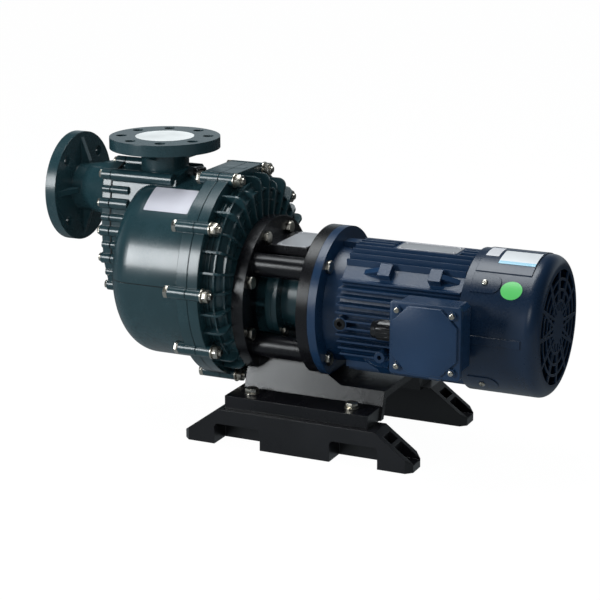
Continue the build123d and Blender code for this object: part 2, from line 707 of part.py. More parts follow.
def make_volute():
    """Inner volute that feeds the impeller's flow up into the bowl."""
    front = VOLUTE_FRONT_X
    solid = rod(front, BACK_PLATE_FRONT_X, VOLUTE_R)
    collar_r = EYE_R + WALL + DUCT_CLEARANCE
    solid += rod(EYE_DUCT_END_X - VOLUTE_COLLAR_L, front + 1, collar_r + VOLUTE_COLLAR_T)
    outlet_x = (front + BACK_PLATE_FRONT_X) / 2
    top = CASING_Z + OUTLET_RISE
    outlet = post(SHAFT_Z, top, VOLUTE_OUTLET_R + OUTLET_WALL, outlet_x, VOLUTE_OUTLET_Y)
    solid += outlet & block(front, BACK_PLATE_FRONT_X, 0, 2 * VOLUTE_R, 0, 2 * CASING_Z)
    tools = [
        rod(front + WALL, BACK_PLATE_FRONT_X + 1, VOLUTE_INNER_R),
        rod(EYE_DUCT_END_X - 1, front + WALL + 1, EYE_R + 2),
        rod(EYE_DUCT_END_X - VOLUTE_COLLAR_L - 1, EYE_DUCT_END_X + 0.5, collar_r),
        post(SHAFT_Z + OUTLET_START, top + 1, OUTLET_BORE_R, outlet_x + OUTLET_SHIFT, VOLUTE_OUTLET_Y),
    ]
    return cut(solid, tools)


def make_impeller():
    """Closed impeller with curved blades between its two shrouds."""
    back = rod(IMPELLER_BACK_X - SHROUD_T, IMPELLER_BACK_X, IMPELLER_R)
    front = tube(IMPELLER_FRONT_X, IMPELLER_FRONT_X + SHROUD_T, IMPELLER_R, EYE_R)
    hub = rod(IMPELLER_FRONT_X + SHROUD_T, IMPELLER_BACK_X, IMPELLER_HUB_R)
    parts = [back, front, hub]
    for i in range(BLADES):
        blade = tube(IMPELLER_FRONT_X + SHROUD_T / 2, IMPELLER_BACK_X - SHROUD_T / 2,
                     BLADE_R, BLADE_R - BLADE_T, BLADE_R - BLADE_REACH)
        blade = blade & block(-400, 0, -50, 200, SHAFT_Z, SHAFT_Z + 100)
        blade = Pos(0, 0, SHAFT_Z) * Rot(360.0 / BLADES * i, 0, 0) * Pos(0, 0, -SHAFT_Z) * blade
        parts.append(blade & tube(-400, 0, IMPELLER_R - 1, IMPELLER_HUB_R - 2))
    solid = fuse(parts)
    return solid - rod(-400, 0, IMPELLER_SEAT_R + RUNNING_GAP)


def make_pump_shaft():
    """Stub shaft: a sleeve over the motor shaft, the seal seat and the impeller seat."""
    nut_end = IMPELLER_FRONT_X + SHROUD_T - IMPELLER_NUT_L + NUT_CAP_T
    solid = fuse([
        rod(SLEEVE_FRONT_X, SLEEVE_END_X, SLEEVE_R),
        rod(IMPELLER_BACK_X, SLEEVE_FRONT_X, PUMP_SHAFT_R),
        rod(nut_end, IMPELLER_BACK_X, IMPELLER_SEAT_R),
    ])
    half_key = KEY_W / 2 + RUNNING_GAP
    key = block(SLEEVE_END_X - KEY_L - 1, SLEEVE_END_X + 1, -half_key, half_key,
                SHAFT_Z, SHAFT_Z + MOTOR_SHAFT_R + KEY_H / 2 + RUNNING_GAP)
    return cut(solid, [rod(MOTOR_SHAFT_END_X, SLEEVE_END_X + 1, MOTOR_SHAFT_R + RUNNING_GAP), key])


def make_impeller_nut():
    """Rounded cap nut that holds the impeller."""
    x1 = IMPELLER_FRONT_X + SHROUD_T
    nut = rod(x1 - IMPELLER_NUT_L, x1, IMPELLER_NUT_R)
    nut = fillet(nut.edges().sort_by(Axis.X)[0], IMPELLER_NUT_R - NUT_FLAT_R)
    bore = rod(x1 - IMPELLER_NUT_L + NUT_CAP_T - RUNNING_GAP, x1 + 1, IMPELLER_SEAT_R + RUNNING_GAP)
    return nut - bore


def seal_x():
    """Face of the stationary seal ring."""
    return HUB_END_X - GLAND_SPIGOT - SEAT_L / 2


def make_seal_seat():
    """Stationary seal ring, held in the gland."""
    return tube(seal_x(), seal_x() + SEAT_L, SEAT_R, PUMP_SHAFT_R + SHAFT_CLEARANCE)


def make_seal_ring():
    """Rotating seal ring on the pump shaft."""
    x1 = seal_x() - RUNNING_GAP
    return tube(x1 - SEAL_RING_L, x1, SEAL_RING_R, PUMP_SHAFT_R + RUNNING_GAP)


def make_seal_bellows():
    """Folded bellows that presses the rotating seal ring forward."""
    x1 = seal_x() - RUNNING_GAP - SEAL_RING_L
    step = BELLOWS_L / BELLOWS_FOLDS
    inner = PUMP_SHAFT_R + RUNNING_GAP
    parts = [tube(x1 - BELLOWS_L, x1, inner + BELLOWS_WALL, inner)]
    for i in range(BELLOWS_FOLDS):
        x = x1 - BELLOWS_L + step * i
        parts.append(tube(x, x + step * BELLOWS_SHARE, SEAL_RING_R - 1, inner))
    return fuse(parts)


def make_gland():
    """Gland plate that closes the seal hub and holds the stationary ring."""
    solid = rod(HUB_END_X, HUB_END_X + GLAND_T, HUB_FLANGE_R)
    solid += rod(HUB_END_X - GLAND_SPIGOT, HUB_END_X + 1, SEAL_BORE_R - PILOT_CLEARANCE)
    solid += rod(HUB_END_X + 1, GLAND_SLEEVE_END_X, GLAND_SLEEVE_R)
    tools = [
        rod(HUB_END_X + GLAND_T, GLAND_SLEEVE_END_X + 1, GLAND_SLEEVE_BORE_R),
        rod(HUB_END_X - GLAND_SPIGOT - 1, HUB_END_X + GLAND_T + 1, PUMP_SHAFT_R + SHAFT_CLEARANCE),
        rod(HUB_END_X - GLAND_SPIGOT - 1, seal_x() + SEAT_L, SEAT_R),
    ]
    tools += [rod(HUB_END_X - 1, HUB_END_X + GLAND_T + 1, COVER_SCREW_D / 2 + BOLT_CLEARANCE, y, z)
              for y, z in around(4, GLAND_PCD, 45)]
    return cut(solid, tools)


def make_gland_screws():
    """Four hexagon screws of the gland plate."""
    face = HUB_END_X + GLAND_T
    return Compound(children=[
        hex_rod(face, face + COVER_SCREW_HEAD, COVER_SCREW_AF, y, z)
        + rod(HUB_END_X - HUB_FLANGE_T, face, COVER_SCREW_D / 2, y, z)
        for y, z in around(4, GLAND_PCD, 45)
    ])


def flared(x0, x1, inset, z0, z1):
    """A prism along X whose sides lean inwards with height, like the pedestal's."""
    def half(z):
        return PEDESTAL_HALF - inset - PEDESTAL_FLARE * (z - RAIL_H)
    outline = Polyline((-half(z0), z0), (half(z0), z0), (half(z1), z1), (-half(z1), z1), close=True)
    plane = Plane(origin=(x0, 0, 0), x_dir=(0, 1, 0), z_dir=(1, 0, 0))
    return extrude(plane * make_face(outline), x1 - x0)


def pedestal_solid():
    """Outer form of the pedestal: flared sides under a sloping top edge."""
    side = Polyline(
        (DISC_FRONT_X, RAIL_H), (DISC_FRONT_X, PEDESTAL_HIGH), (SLOPE_START_X, PEDESTAL_HIGH),
        (SLOPE_END_X, PEDESTAL_LOW), (PEDESTAL_END_X, PEDESTAL_LOW), (PEDESTAL_END_X, RAIL_H), close=True,
    )
    plate = extrude(Plane.XZ * make_face(side), PEDESTAL_HALF, both=True)
    return plate & flared(DISC_FRONT_X, PEDESTAL_END_X, 0, RAIL_H, PEDESTAL_HIGH)


def make_bracket():
    """Cast bracket: two discs joined by four round bars, the pedestal and its feet."""
    disc_back = DISC_FRONT_X + DISC_T
    joint_front = JOINT_X - JOINT_DISC_T
    foot_top = RAIL_H + FOOT_T
    bracket_points = around(BRACKET_BOLTS, BRACKET_PCD, 22.5)
    spot_faces = [rod(disc_back, disc_back + SPOT_FACE_L, SPOT_FACE_R, y, z) for y, z in bracket_points]
    bars = [rod(disc_back - 1, joint_front + 1, BAR_R, y, SHAFT_Z + rise)
            for y in (-BAR_Y, BAR_Y) for rise in (-BAR_RISE, BAR_RISE)]
    platform_top = SHAFT_Z + PLATFORM_RISE
    platform = block(disc_back - 1, joint_front - PLATFORM_GAP, -PLATFORM_HALF, PLATFORM_HALF,
                     platform_top - PLATFORM_T, platform_top)
    foot = block(FOOT_FRONT_X, FOOT_REAR_X, -FOOT_HALF, FOOT_HALF, RAIL_H, foot_top)
    skirt = flared(DISC_FRONT_X, disc_back, 0, RAIL_H, SHAFT_Z)
    skirt = skirt & rod(DISC_FRONT_X, disc_back, SHAFT_Z - RAIL_H)
    solid = fuse([
        rod(DISC_FRONT_X, disc_back, DISC_R),
        rod(joint_front, JOINT_X, JOINT_DISC_R),
        pedestal_solid(), foot, skirt, platform,
    ] + bars)
    hollow_top = SHAFT_Z - DISC_R
    tools = [
        flared(disc_back + 1, joint_front, PEDESTAL_WALL, RAIL_H - 1, hollow_top),
        flared(JOINT_X + 1, PEDESTAL_END_X + 1, PEDESTAL_WALL, RAIL_H - 1, hollow_top),
        rod(DISC_FRONT_X - 1, disc_back + 1, HUB_ROOM_R),
        rod(DISC_FRONT_X - 1, DISC_FRONT_X + PILOT_DEPTH, BRACKET_PILOT_R),
        rod(joint_front - 1, JOINT_X + 1, HUB_ROOM_R),
        rod(JOINT_X - MOTOR_PILOT_L - 1, JOINT_X + 1, MOTOR_PILOT_R),
        rod(JOINT_X, JOINT_X + MOTOR_FLANGE_T + FLANGE_SLOT, MOTOR_FLANGE_R + FLANGE_SLOT),
    ]
    bolt_r = M12_D / 2 + BOLT_CLEARANCE
    tools += spot_faces
    tools += [rod(DISC_FRONT_X - 1, disc_back + 1, bolt_r, y, z) for y, z in bracket_points]
    tools += [rod(joint_front - 1, JOINT_X + 1, M12_D / 2 + PLUG_CLEARANCE, y, z)
              for y, z in around(MOTOR_FLANGE_BOLTS, MOTOR_FLANGE_PCD, 45)]
    tools += [post(RAIL_H - 1, foot_top + 1, bolt_r, x, side_y)
              for x in FOOT_BOLT_X for side_y in (-FOOT_BOLT_Y, FOOT_BOLT_Y)]
    return cut(solid, tools)


def make_nameplate():
    """Blank metal plate on the bracket's top platform."""
    x1 = JOINT_X - JOINT_DISC_T - PLATFORM_GAP - NAMEPLATE_INSET
    z0 = SHAFT_Z + PLATFORM_RISE
    return block(x1 - NAMEPLATE_L, x1, -NAMEPLATE_W / 2, NAMEPLATE_W / 2, z0, z0 + NAMEPLATE_T)


def make_bracket_bolts():
    """Hexagon bolts from the bracket into the rear cover."""
    face = DISC_FRONT_X + DISC_T
    return Compound(children=[
        hex_rod(face, face + M12_HEAD, M12_AF, y, z) + rod(face - BRACKET_BOLT_L, face, M12_D / 2, y, z)
        for y, z in around(BRACKET_BOLTS, BRACKET_PCD, 22.5)
    ])


def make_rail(side):
    """One base rail: sloped ends with anchor pockets, two notches in the outer wall."""
    outline = Polyline(
        (-RAIL_L / 2, 0), (-RAIL_L / 2, RAIL_TOE), (-RAIL_TOP_L / 2, RAIL_H), (RAIL_TOP_L / 2, RAIL_H),
        (RAIL_L / 2, RAIL_TOE), (RAIL_L / 2, 0), close=True,
    )
    rail = extrude(Plane.XZ * make_face(outline), RAIL_W / 2, both=True)
    corners = rail.edges().filter_by(Axis.Z)
    rail = chamfer(corners, TOE_CHAMFER)
    tools = []
    for end in (-1, 1):
        pocket_half = RAIL_W / 2 - RAIL_SKIN
        pocket = block(-POCKET_L, 1, -pocket_half, pocket_half, POCKET_FLOOR, RAIL_H + 1)
        rib_x = -POCKET_L + POCKET_RIB_AT
        rib = block(rib_x, rib_x + POCKET_RIB, -RAIL_W, RAIL_W, 0, RAIL_H)
        pocket = pocket - rib
        tools += (Pos(end * RAIL_L / 2, 0, 0) * Rot(0, 0, 0 if end > 0 else 180) * pocket).solids()
        tools.append(post(-1, RAIL_TOE, ANCHOR_HOLE_D / 2, end * ANCHOR_X, 0))
        notch = block(-NOTCH_L / 2, NOTCH_L / 2, -RAIL_W / 2 - 1, RAIL_W / 2 - RAIL_SKIN, -20, NOTCH_H)
        notch = fillet(notch.edges().filter_by(Axis.Y), NOTCH_ROUND)
        tools.append(Pos(end * NOTCH_X, 0, 0) * notch)
        tools.append(post(RAIL_H - FOOT_THREAD_L, RAIL_H + 1, M12_D / 2 + PLUG_CLEARANCE, foot_x(end),
                          RAIL_OUTER_Y - RAIL_W / 2 - FOOT_BOLT_Y))
    rail = cut(rail, tools)
    rail = Pos(0, -(RAIL_OUTER_Y - RAIL_W / 2), 0) * rail
    return rail if side < 0 else mirror(rail, Plane.XZ)


def foot_x(end):
    """Station of the foot bolt nearer to an end of the rail."""
    return FOOT_BOLT_X[0] if end < 0 else FOOT_BOLT_X[1]


def foot_places():
    """Foot bolt places as (x, y)."""
    return [(x, y) for x in FOOT_BOLT_X for y in (-FOOT_BOLT_Y, FOOT_BOLT_Y)]


def make_foot_bolts():
    """Hexagon bolts from the bracket feet into the rails."""
    seat = RAIL_H + FOOT_T + M12_WASHER_T
    return Compound(children=[
        hex_post(seat, seat + M12_HEAD, M12_AF, x, y)
        + post(RAIL_H - FOOT_THREAD_L + 2, seat, M12_D / 2, x, y)
        for x, y in foot_places()
    ])


def make_foot_washers():
    """Washers under the foot bolts."""
    z0 = RAIL_H + FOOT_T
    return Compound(children=[
        post(z0, z0 + M12_WASHER_T, M12_WASHER_D / 2, x, y)
        - post(z0 - 1, z0 + M12_WASHER_T + 1, M12_D / 2 + BOLT_CLEARANCE / 2, x, y)
        for x, y in foot_places()
    ])


def make_front_shield():
    """Motor end shield with the mounting flange and the front bearing seat."""
    x1 = JOINT_X + MOTOR_FLANGE_T
    solid = fuse([
        rod(JOINT_X, x1, MOTOR_FLANGE_R),
        rod(JOINT_X - MOTOR_PILOT_L, JOINT_X + 1, MOTOR_PILOT_R - PILOT_CLEARANCE),
        rod(x1 - 1, x1 + SHIELD_SPIGOT_L, FRAME_BORE_R - PILOT_CLEARANCE),
        rod(x1 - 1, FRONT_BEARING_X + BEARING_W, SHIELD_HUB_R),
    ])
    tools = [
        rod(JOINT_X - 10, x1 + 60, PUMP_SHAFT_R + 4),
        rod(FRONT_BEARING_X, x1 + 60, BEARING_OD / 2),
        rod(JOINT_X - 10, JOINT_X + 6, SLEEVE_R + 6),
    ]
    tools += [rod(JOINT_X - 1, x1 + 1, M12_D / 2 + BOLT_CLEARANCE, y, z)
              for y, z in around(MOTOR_FLANGE_BOLTS, MOTOR_FLANGE_PCD, 45)]
    return cut(solid, tools)


def make_motor_flange_bolts():
    """Hexagon bolts from the motor flange into the bracket."""
    face = JOINT_X + MOTOR_FLANGE_T
    return Compound(children=[
        hex_rod(face, face + M12_HEAD, M12_AF, y, z) + rod(JOINT_X - JOINT_DISC_T, face, M12_D / 2, y, z)
        for y, z in around(MOTOR_FLANGE_BOLTS, MOTOR_FLANGE_PCD, 45)
    ])


def foot_pad(x, toward):
    """A foot pad at the top of the frame with a sloped rib on one side."""
    root = FRAME_R - 6
    end = x if toward < 0 else x + PAD_L
    pad = block(x, x + PAD_L, root, PAD_RISE, -PAD_W / 2, PAD_W / 2)
    outline = Polyline(
        (end - toward, root), (end - toward, PAD_RISE - 1), (end, PAD_RISE - 1),
        (end + toward * PAD_RIB_L, PANEL_RISE - 1), (end + toward * PAD_RIB_L, root), close=True,
    )
    rib = extrude(Plane.XY * make_face(outline), PAD_RIB_T / 2, both=True)
    return [pad, rib]


def make_motor_frame():
    """Finned motor frame with foot pads, plate pad and the terminal box neck."""
    x0 = JOINT_X + MOTOR_FLANGE_T
    parts = [rod(x0, FRAME_END_X, FRAME_R), cone(x0, FIN_START_X, NECK_R, FRAME_R)]
    for i in range(-FINS_EACH_WAY, FINS_EACH_WAY + 1):
        shift = i * FIN_PITCH
        reach = math.sqrt(FIN_R ** 2 - shift ** 2)
        parts.append(block(FIN_START_X, FIN_END_X, -reach, reach,
                           SHAFT_Z + shift - FIN_T / 2, SHAFT_Z + shift + FIN_T / 2))
        parts.append(block(FIN_START_X, FIN_END_X, shift - FIN_T / 2, shift + FIN_T / 2,
                           SHAFT_Z - reach, SHAFT_Z + reach))
    for angle in PAD_ANGLES:
        pieces = [block(FIN_START_X, FIN_END_X, FRAME_R - 8, PANEL_RISE, -PANEL_W / 2, PANEL_W / 2)]
        pieces += foot_pad(PAD_X[0], -1) + foot_pad(PAD_X[1], 1)
        parts += [Pos(0, 0, SHAFT_Z) * Rot(angle, 0, 0) * piece for piece in pieces]
    pad_x0 = PLATE_PAD_X - PLATE_PAD_L / 2
    pad_x1 = PLATE_PAD_X + PLATE_PAD_L / 2
    pad_top = SHAFT_Z + PLATE_PAD_RISE
    parts.append(block(pad_x0, pad_x1, -PLATE_PAD_W / 2, PLATE_PAD_W / 2, SHAFT_Z + FRAME_R - 12, pad_top))
    parts.append(block(LUG_X[0], LUG_X[1], -LUG_HALF, LUG_HALF, SHAFT_Z + FRAME_R - 4, SHAFT_Z + LUG_RISE))
    neck_z = SHAFT_Z + BOX_RISE
    parts.append(block(BOX_X - BOX_NECK / 2, FIN_END_X, BOX_BACK_Y, -FRAME_R + 12,
                       neck_z - BOX_NECK / 2, neck_z + BOX_NECK / 2))
    parts.append(pin_y(TAPPED_BOSS_Y, -FRAME_R / 2, TAPPED_BOSS_R, TAPPED_BOSS_X, TAPPED_BOSS_Z))
    parts.append(pin_y(-FIN_R, -FRAME_R / 2, FRAME_PLUG_R + 2, FRAME_PLUG_X, FRAME_PLUG_Z))
    over_pad = block(pad_x0, pad_x1, -PLATE_PAD_W / 2, PLATE_PAD_W / 2, pad_top, SHAFT_Z + 2 * FIN_R)
    tools = [
        rod(x0 - 1, FRAME_END_X + 1, FRAME_BORE_R), over_pad,
        pin_y(TAPPED_BOSS_Y - 1, TAPPED_BOSS_Y + TAPPED_HOLE_L, TAPPED_HOLE_R, TAPPED_BOSS_X, TAPPED_BOSS_Z),
        pin_y(-FIN_R - 1, -FRAME_R - 2, PLUG_THREAD_R + PLUG_CLEARANCE, FRAME_PLUG_X, FRAME_PLUG_Z),
    ]
    return cut(fuse(parts), tools)


def make_frame_plug():
    """Round plug with a hexagon socket in the side of the motor frame."""
    head = pin_y(FRAME_PLUG_Y, -FIN_R, FRAME_PLUG_R, FRAME_PLUG_X, FRAME_PLUG_Z)
    head += pin_y(-FIN_R, -FRAME_R - 3, PLUG_THREAD_R, FRAME_PLUG_X, FRAME_PLUG_Z)
    socket = RegularPolygon(FRAME_PLUG_SOCKET_AF / 2, 6, major_radius=False)
    plane = Plane(origin=(FRAME_PLUG_X, FRAME_PLUG_Y - 1, FRAME_PLUG_Z), x_dir=(1, 0, 0), z_dir=(0, -1, 0))
    return head - extrude(plane * socket, -FRAME_PLUG_SOCKET_L - 1)


def make_motor_plate():
    """Blank plate on top of the motor."""
    z0 = SHAFT_Z + PLATE_PAD_RISE
    half_l = PLATE_PAD_L / 2 - PLATE_MARGIN
    half_w = PLATE_PAD_W / 2 - PLATE_MARGIN + 1
    return block(PLATE_PAD_X - half_l, PLATE_PAD_X + half_l, -half_w, half_w, z0, z0 + NAMEPLATE_T)


def make_stator_core():
    """Laminated stator core in the frame."""
    return tube(CORE_X[0], CORE_X[1], FRAME_BORE_R, STATOR_BORE_R)


def make_windings():
    """End turns of the stator windings."""
    ends = []
    for x0 in (CORE_X[0] - WINDING_L, CORE_X[1]):
        ring = tube(x0, x0 + WINDING_L, WINDING_R[1], WINDING_R[0])
        outer_end = Axis.X if x0 < CORE_X[0] else Axis((0, 0, 0), (-1, 0, 0))
        edges = ring.edges().filter_by(GeomType.CIRCLE).group_by(outer_end)[0]
        ends.append(fillet(edges, (WINDING_R[1] - WINDING_R[0]) / 3))
    return Compound(children=ends)


def make_rotor_core():
    """Rotor core with its end rings."""
    return fuse([
        tube(CORE_X[0], CORE_X[1], STATOR_BORE_R - AIR_GAP, SHAFT_STEP_R),
        tube(CORE_X[0] - END_RING_L, CORE_X[1] + END_RING_L, END_RING_R[1], END_RING_R[0]),
    ])


def make_motor_shaft():
    """Motor shaft from the pump sleeve to the fan."""
    seat = BEARING_ID / 2
    solid = fuse([
        rod(MOTOR_SHAFT_END_X + 1, FRONT_BEARING_X, MOTOR_SHAFT_R),
        rod(FRONT_BEARING_X, REAR_BEARING_X + BEARING_W, seat),
        rod(FRONT_BEARING_X + BEARING_W + 4, REAR_BEARING_X - 4, SHAFT_STEP_R),
        rod(REAR_BEARING_X + BEARING_W, FAN_X + FAN_W, MOTOR_SHAFT_R),
    ])
    keyway = block(SLEEVE_END_X - KEY_L, SLEEVE_END_X, -KEY_W / 2, KEY_W / 2,
                   SHAFT_Z + MOTOR_SHAFT_R - KEY_H / 2, SHAFT_Z + SLEEVE_R)
    return solid - keyway


def make_shaft_key():
    """Key between the motor shaft and the pump shaft's sleeve."""
    return block(SLEEVE_END_X - KEY_L, SLEEVE_END_X, -KEY_W / 2, KEY_W / 2,
                 SHAFT_Z + MOTOR_SHAFT_R - KEY_H / 2, SHAFT_Z + MOTOR_SHAFT_R + KEY_H / 2)


def ball_track(x0):
    """Torus that the balls of a bearing run in."""
    pitch = (BEARING_OD + BEARING_ID) / 4
    return Pos(x0 + BEARING_W / 2, 0, SHAFT_Z) * Rot(0, 90, 0) * Torus(pitch, BALL_R + RUNNING_GAP)


def make_bearing_outer(x0):
    """Outer race of a ball bearing."""
    pitch = (BEARING_OD + BEARING_ID) / 4
    inner = pitch + BALL_R - RACE_GROOVE
    return tube(x0, x0 + BEARING_W, BEARING_OD / 2, inner) - ball_track(x0)


def make_bearing_inner(x0):
    """Inner race of a ball bearing with its balls and cage."""
    pitch = (BEARING_OD + BEARING_ID) / 4
    outer = pitch - BALL_R + RACE_GROOVE
    race = tube(x0, x0 + BEARING_W, outer, BEARING_ID / 2) - ball_track(x0)
    cage = tube(x0 + BEARING_W / 2 - 3, x0 + BEARING_W / 2 + 3, pitch + 1.5, pitch - 1.5)
    balls = []
    for y, z in around(BALLS, 2 * pitch):
        balls.append(Pos(x0 + BEARING_W / 2, y, z) * Sphere(BALL_R))
    return Compound(children=[race, fuse([cage] + balls)])


def make_rear_shield():
    """Rear end shield with the rear bearing seat and the cowl lugs."""
    x1 = FRAME_END_X + SHIELD_T
    parts = [
        rod(FRAME_END_X, x1, REAR_SHIELD_R),
        rod(FRAME_END_X - SHIELD_SPIGOT_L, FRAME_END_X + 1, FRAME_BORE_R - PILOT_CLEARANCE),
        rod(REAR_BEARING_X - 2, x1, SHIELD_HUB_R),
    ]
    lug_reach = COWL_R - COWL_T - 0.1
    for angle in COWL_LUG_ANGLES:
        lug = block(FRAME_END_X, x1 + COWL_LUG_REACH, REAR_SHIELD_R - 4, COWL_R + 5,
                    -COWL_LUG_W / 2, COWL_LUG_W / 2)
        parts.append(Pos(0, 0, SHAFT_Z) * Rot(angle, 0, 0) * lug)
    solid = fuse(parts) & rod(REAR_BEARING_X - 10, x1 + COWL_LUG_REACH + 1, lug_reach)
    tools = [
        rod(REAR_BEARING_X - 10, x1 + 1, PUMP_SHAFT_R + 3),
        rod(REAR_BEARING_X - 3, REAR_BEARING_X + BEARING_W, BEARING_OD / 2),
    ]
    tools += [cowl_screw(angle, PLUG_CLEARANCE, 0) for angle in COWL_LUG_ANGLES]
    return cut(solid, tools)


def cowl_screw(angle, grow, head):
    """One radial cowl screw, or with head 0 only its shank."""
    shank = Pos(COWL_SCREW_X, COWL_R - 8, 0) * Rot(90, 0, 0) * Cylinder(2.5 + grow, 16)
    if head:
        seat = COWL_R + COWL_PANEL_RISE
        shank += Pos(COWL_SCREW_X, seat + head / 2, 0) * Rot(90, 0, 0) * Cylinder(5, head)
    return Pos(0, 0, SHAFT_Z) * Rot(angle, 0, 0) * shank


def make_cowl_screws():
    """Four screws that hold the cowl to the rear end shield."""
    return Compound(children=[cowl_screw(angle, 0, 3.0) for angle in COWL_LUG_ANGLES])


def make_fan():
    """Radial cooling fan."""
    disc_x = FAN_X + FAN_W - FAN_DISC_T
    parts = [
        rod(FAN_X, FAN_X + FAN_W, FAN_HUB_R),
        rod(disc_x - FAN_DISC_AT, disc_x - FAN_DISC_AT + FAN_DISC_T, FAN_R - 8),
    ]
    for i in range(FAN_BLADES):
        blade = Pos(FAN_X + FAN_W / 2, (FAN_R + FAN_HUB_R) / 2 - 2, 0) * Box(
            FAN_W, FAN_R - FAN_HUB_R + 4, FAN_BLADE_T)
        parts.append(Pos(0, 0, SHAFT_Z) * Rot(360.0 / FAN_BLADES * i, 0, 0) * blade)
    return fuse(parts) - rod(FAN_X - 1, FAN_X + FAN_W + 1, MOTOR_SHAFT_R + RUNNING_GAP)


def grille_bars():
    """Zigzag bars that cross the rings of the grille."""
    inner_r = GRILLE_RINGS[0][0] - GRILLE_BAR
    outer_r = GRILLE_RINGS[-1][1] + GRILLE_BAR
    bars = []
    for i in range(GRILLE_POINTS):
        tip = math.radians(360.0 / GRILLE_POINTS * i)
        for turn in (-1, 1):
            root = tip + turn * math.pi / GRILLE_POINTS
            y0, z0 = outer_r * math.cos(tip), outer_r * math.sin(tip)
            y1, z1 = inner_r * math.cos(root), inner_r * math.sin(root)
            length = math.hypot(y1 - y0, z1 - z0) + GRILLE_BAR
            lean = math.degrees(math.atan2(z1 - z0, y1 - y0))
            bar = Rot(lean, 0, 0) * Box(20, length, GRILLE_BAR)
            bars.append(Pos(COWL_END_X, (y0 + y1) / 2, SHAFT_Z + (z0 + z1) / 2) * bar)
    return bars


def make_cowl():
    """Fan cowl with raised panels, a rounded end and a grille of rings and zigzag bars."""
    shell = rod(COWL_FRONT_X, COWL_END_X, COWL_R)
    shell = fillet(shell.edges().sort_by(Axis.X)[-1], COWL_ROUND)
    raised_r = COWL_R + COWL_PANEL_RISE
    panel_x0, panel_x1 = COWL_PANEL_X
    raised = rod(panel_x0, panel_x1, raised_r)
    panels = [raised & block(panel_x0, panel_x1, -COWL_PANEL_HALF, COWL_PANEL_HALF, SHAFT_Z, 2 * SHAFT_Z)]
    for side in (-1, 1):
        far = side * 2 * COWL_R
        panels.append(raised & block(panel_x0, panel_x1, min(0, far), max(0, far), *COWL_BAND_Z))
    for angle in COWL_LUG_ANGLES:
        pad = block(COWL_PAD_X[0], COWL_PAD_X[1], 0, 2 * COWL_R, -COWL_PAD_W / 2, COWL_PAD_W / 2)
        pad = fillet(pad.edges().filter_by(Axis.Y).group_by(Axis.X)[-1], COWL_PAD_W / 2 - 1)
        panels.append(raised & (Pos(0, 0, SHAFT_Z) * Rot(angle, 0, 0) * pad))
    shell = fuse([shell] + panels)
    inner = rod(COWL_FRONT_X - 1, COWL_END_X - COWL_T, COWL_R - COWL_T)
    inner = fillet(inner.edges().sort_by(Axis.X)[-1], COWL_ROUND - COWL_T)
    tools = [inner]
    bars = grille_bars()
    for inner_r, outer_r in GRILLE_RINGS:
        ring = tube(COWL_END_X - 5, COWL_END_X + 5, outer_r, inner_r)
        tools += cut(ring, bars).solids()
    tools += [cowl_screw(angle, 0.4, 0) for angle in COWL_LUG_ANGLES]
    return cut(shell, tools)


def box_plate(y0, y1, size, corner):
    """A square plate of the terminal box with cut corners, between two depths."""
    face = Rectangle(size, size)
    face = chamfer(face.vertices(), corner)
    plane = Plane(origin=(BOX_X, y1, SHAFT_Z + BOX_RISE), x_dir=(1, 0, 0), z_dir=(0, -1, 0))
    return extrude(plane * face, y1 - y0)


def box_screw_places():
    """Terminal box screw places as (x, z)."""
    ends = (-BOX_SCREW_AT, BOX_SCREW_AT)
    return [(BOX_X + dx, SHAFT_Z + BOX_RISE + dz) for dx in ends for dz in ends]


def pin_y(y0, y1, radius, x, z):
    """A solid cylinder along Y."""
    return Pos(x, (y0 + y1) / 2, z) * Rot(90, 0, 0) * Cylinder(radius, y1 - y0)


def make_box_base():
    """Terminal box base on the motor's neck."""
    y_front = BOX_FACE_Y + BOX_COVER_T + BOX_GASKET_T
    solid = box_plate(y_front, BOX_BACK_Y, BOX_BASE, BOX_CUT / 2)
    room = box_plate(y_front - 1, BOX_BACK_Y - BOX_WALL, BOX_BASE - 2 * BOX_WALL, BOX_CUT / 2)
    posts = [pin_y(y_front, BOX_BACK_Y - 1, BOX_POST_R, x, z) for x, z in box_screw_places()]
    solid = fuse([solid - room] + posts)
    left = BOX_X - BOX_BASE / 2
    tools = [pin_y(y_front - 1, y_front + 18, BOX_SCREW_D / 2 + PLUG_CLEARANCE, x, z)
             for x, z in box_screw_places()]
    tools.append(rod(left - 1, left + BOX_WALL + 1, GLAND_THREAD_R + PLUG_CLEARANCE, GLAND_Y,
                     SHAFT_Z + BOX_RISE))
    return cut(solid, tools)


def make_box_gasket():
    """Gasket under the terminal box cover."""
    y0 = BOX_FACE_Y + BOX_COVER_T
    ring = box_plate(y0, y0 + BOX_GASKET_T, BOX_BASE, BOX_CUT / 2)
    ring = ring - box_plate(y0 - 1, y0 + BOX_GASKET_T + 1, BOX_BASE - 4 * BOX_WALL, BOX_CUT / 2)
    return cut(ring, [pin_y(y0 - 1, y0 + 3, BOX_SCREW_D / 2 + 0.5, x, z) for x, z in box_screw_places()])


def make_box_cover():
    """Terminal box cover."""
    solid = box_plate(BOX_FACE_Y, BOX_FACE_Y + BOX_COVER_T, BOX_COVER, BOX_CUT)
    front = solid.faces().sort_by(Axis.Y)[0]
    solid = chamfer(front.edges(), BOX_BEVEL)
    back = BOX_FACE_Y + BOX_COVER_T
    room = box_plate(BOX_FACE_Y + BOX_FRONT_T, back + 1, BOX_BASE - 4 * BOX_WALL, BOX_CUT)
    posts = [pin_y(BOX_FACE_Y + BOX_FRONT_T - 1, back, BOX_POST_R, x, z) for x, z in box_screw_places()]
    solid = fuse([solid - room] + posts)
    tools = [pin_y(BOX_FACE_Y - 1, BOX_FACE_Y + BOX_COVER_T + 1, BOX_SCREW_D / 2 + 0.5, x, z)
             for x, z in box_screw_places()]
    return cut(solid, tools)


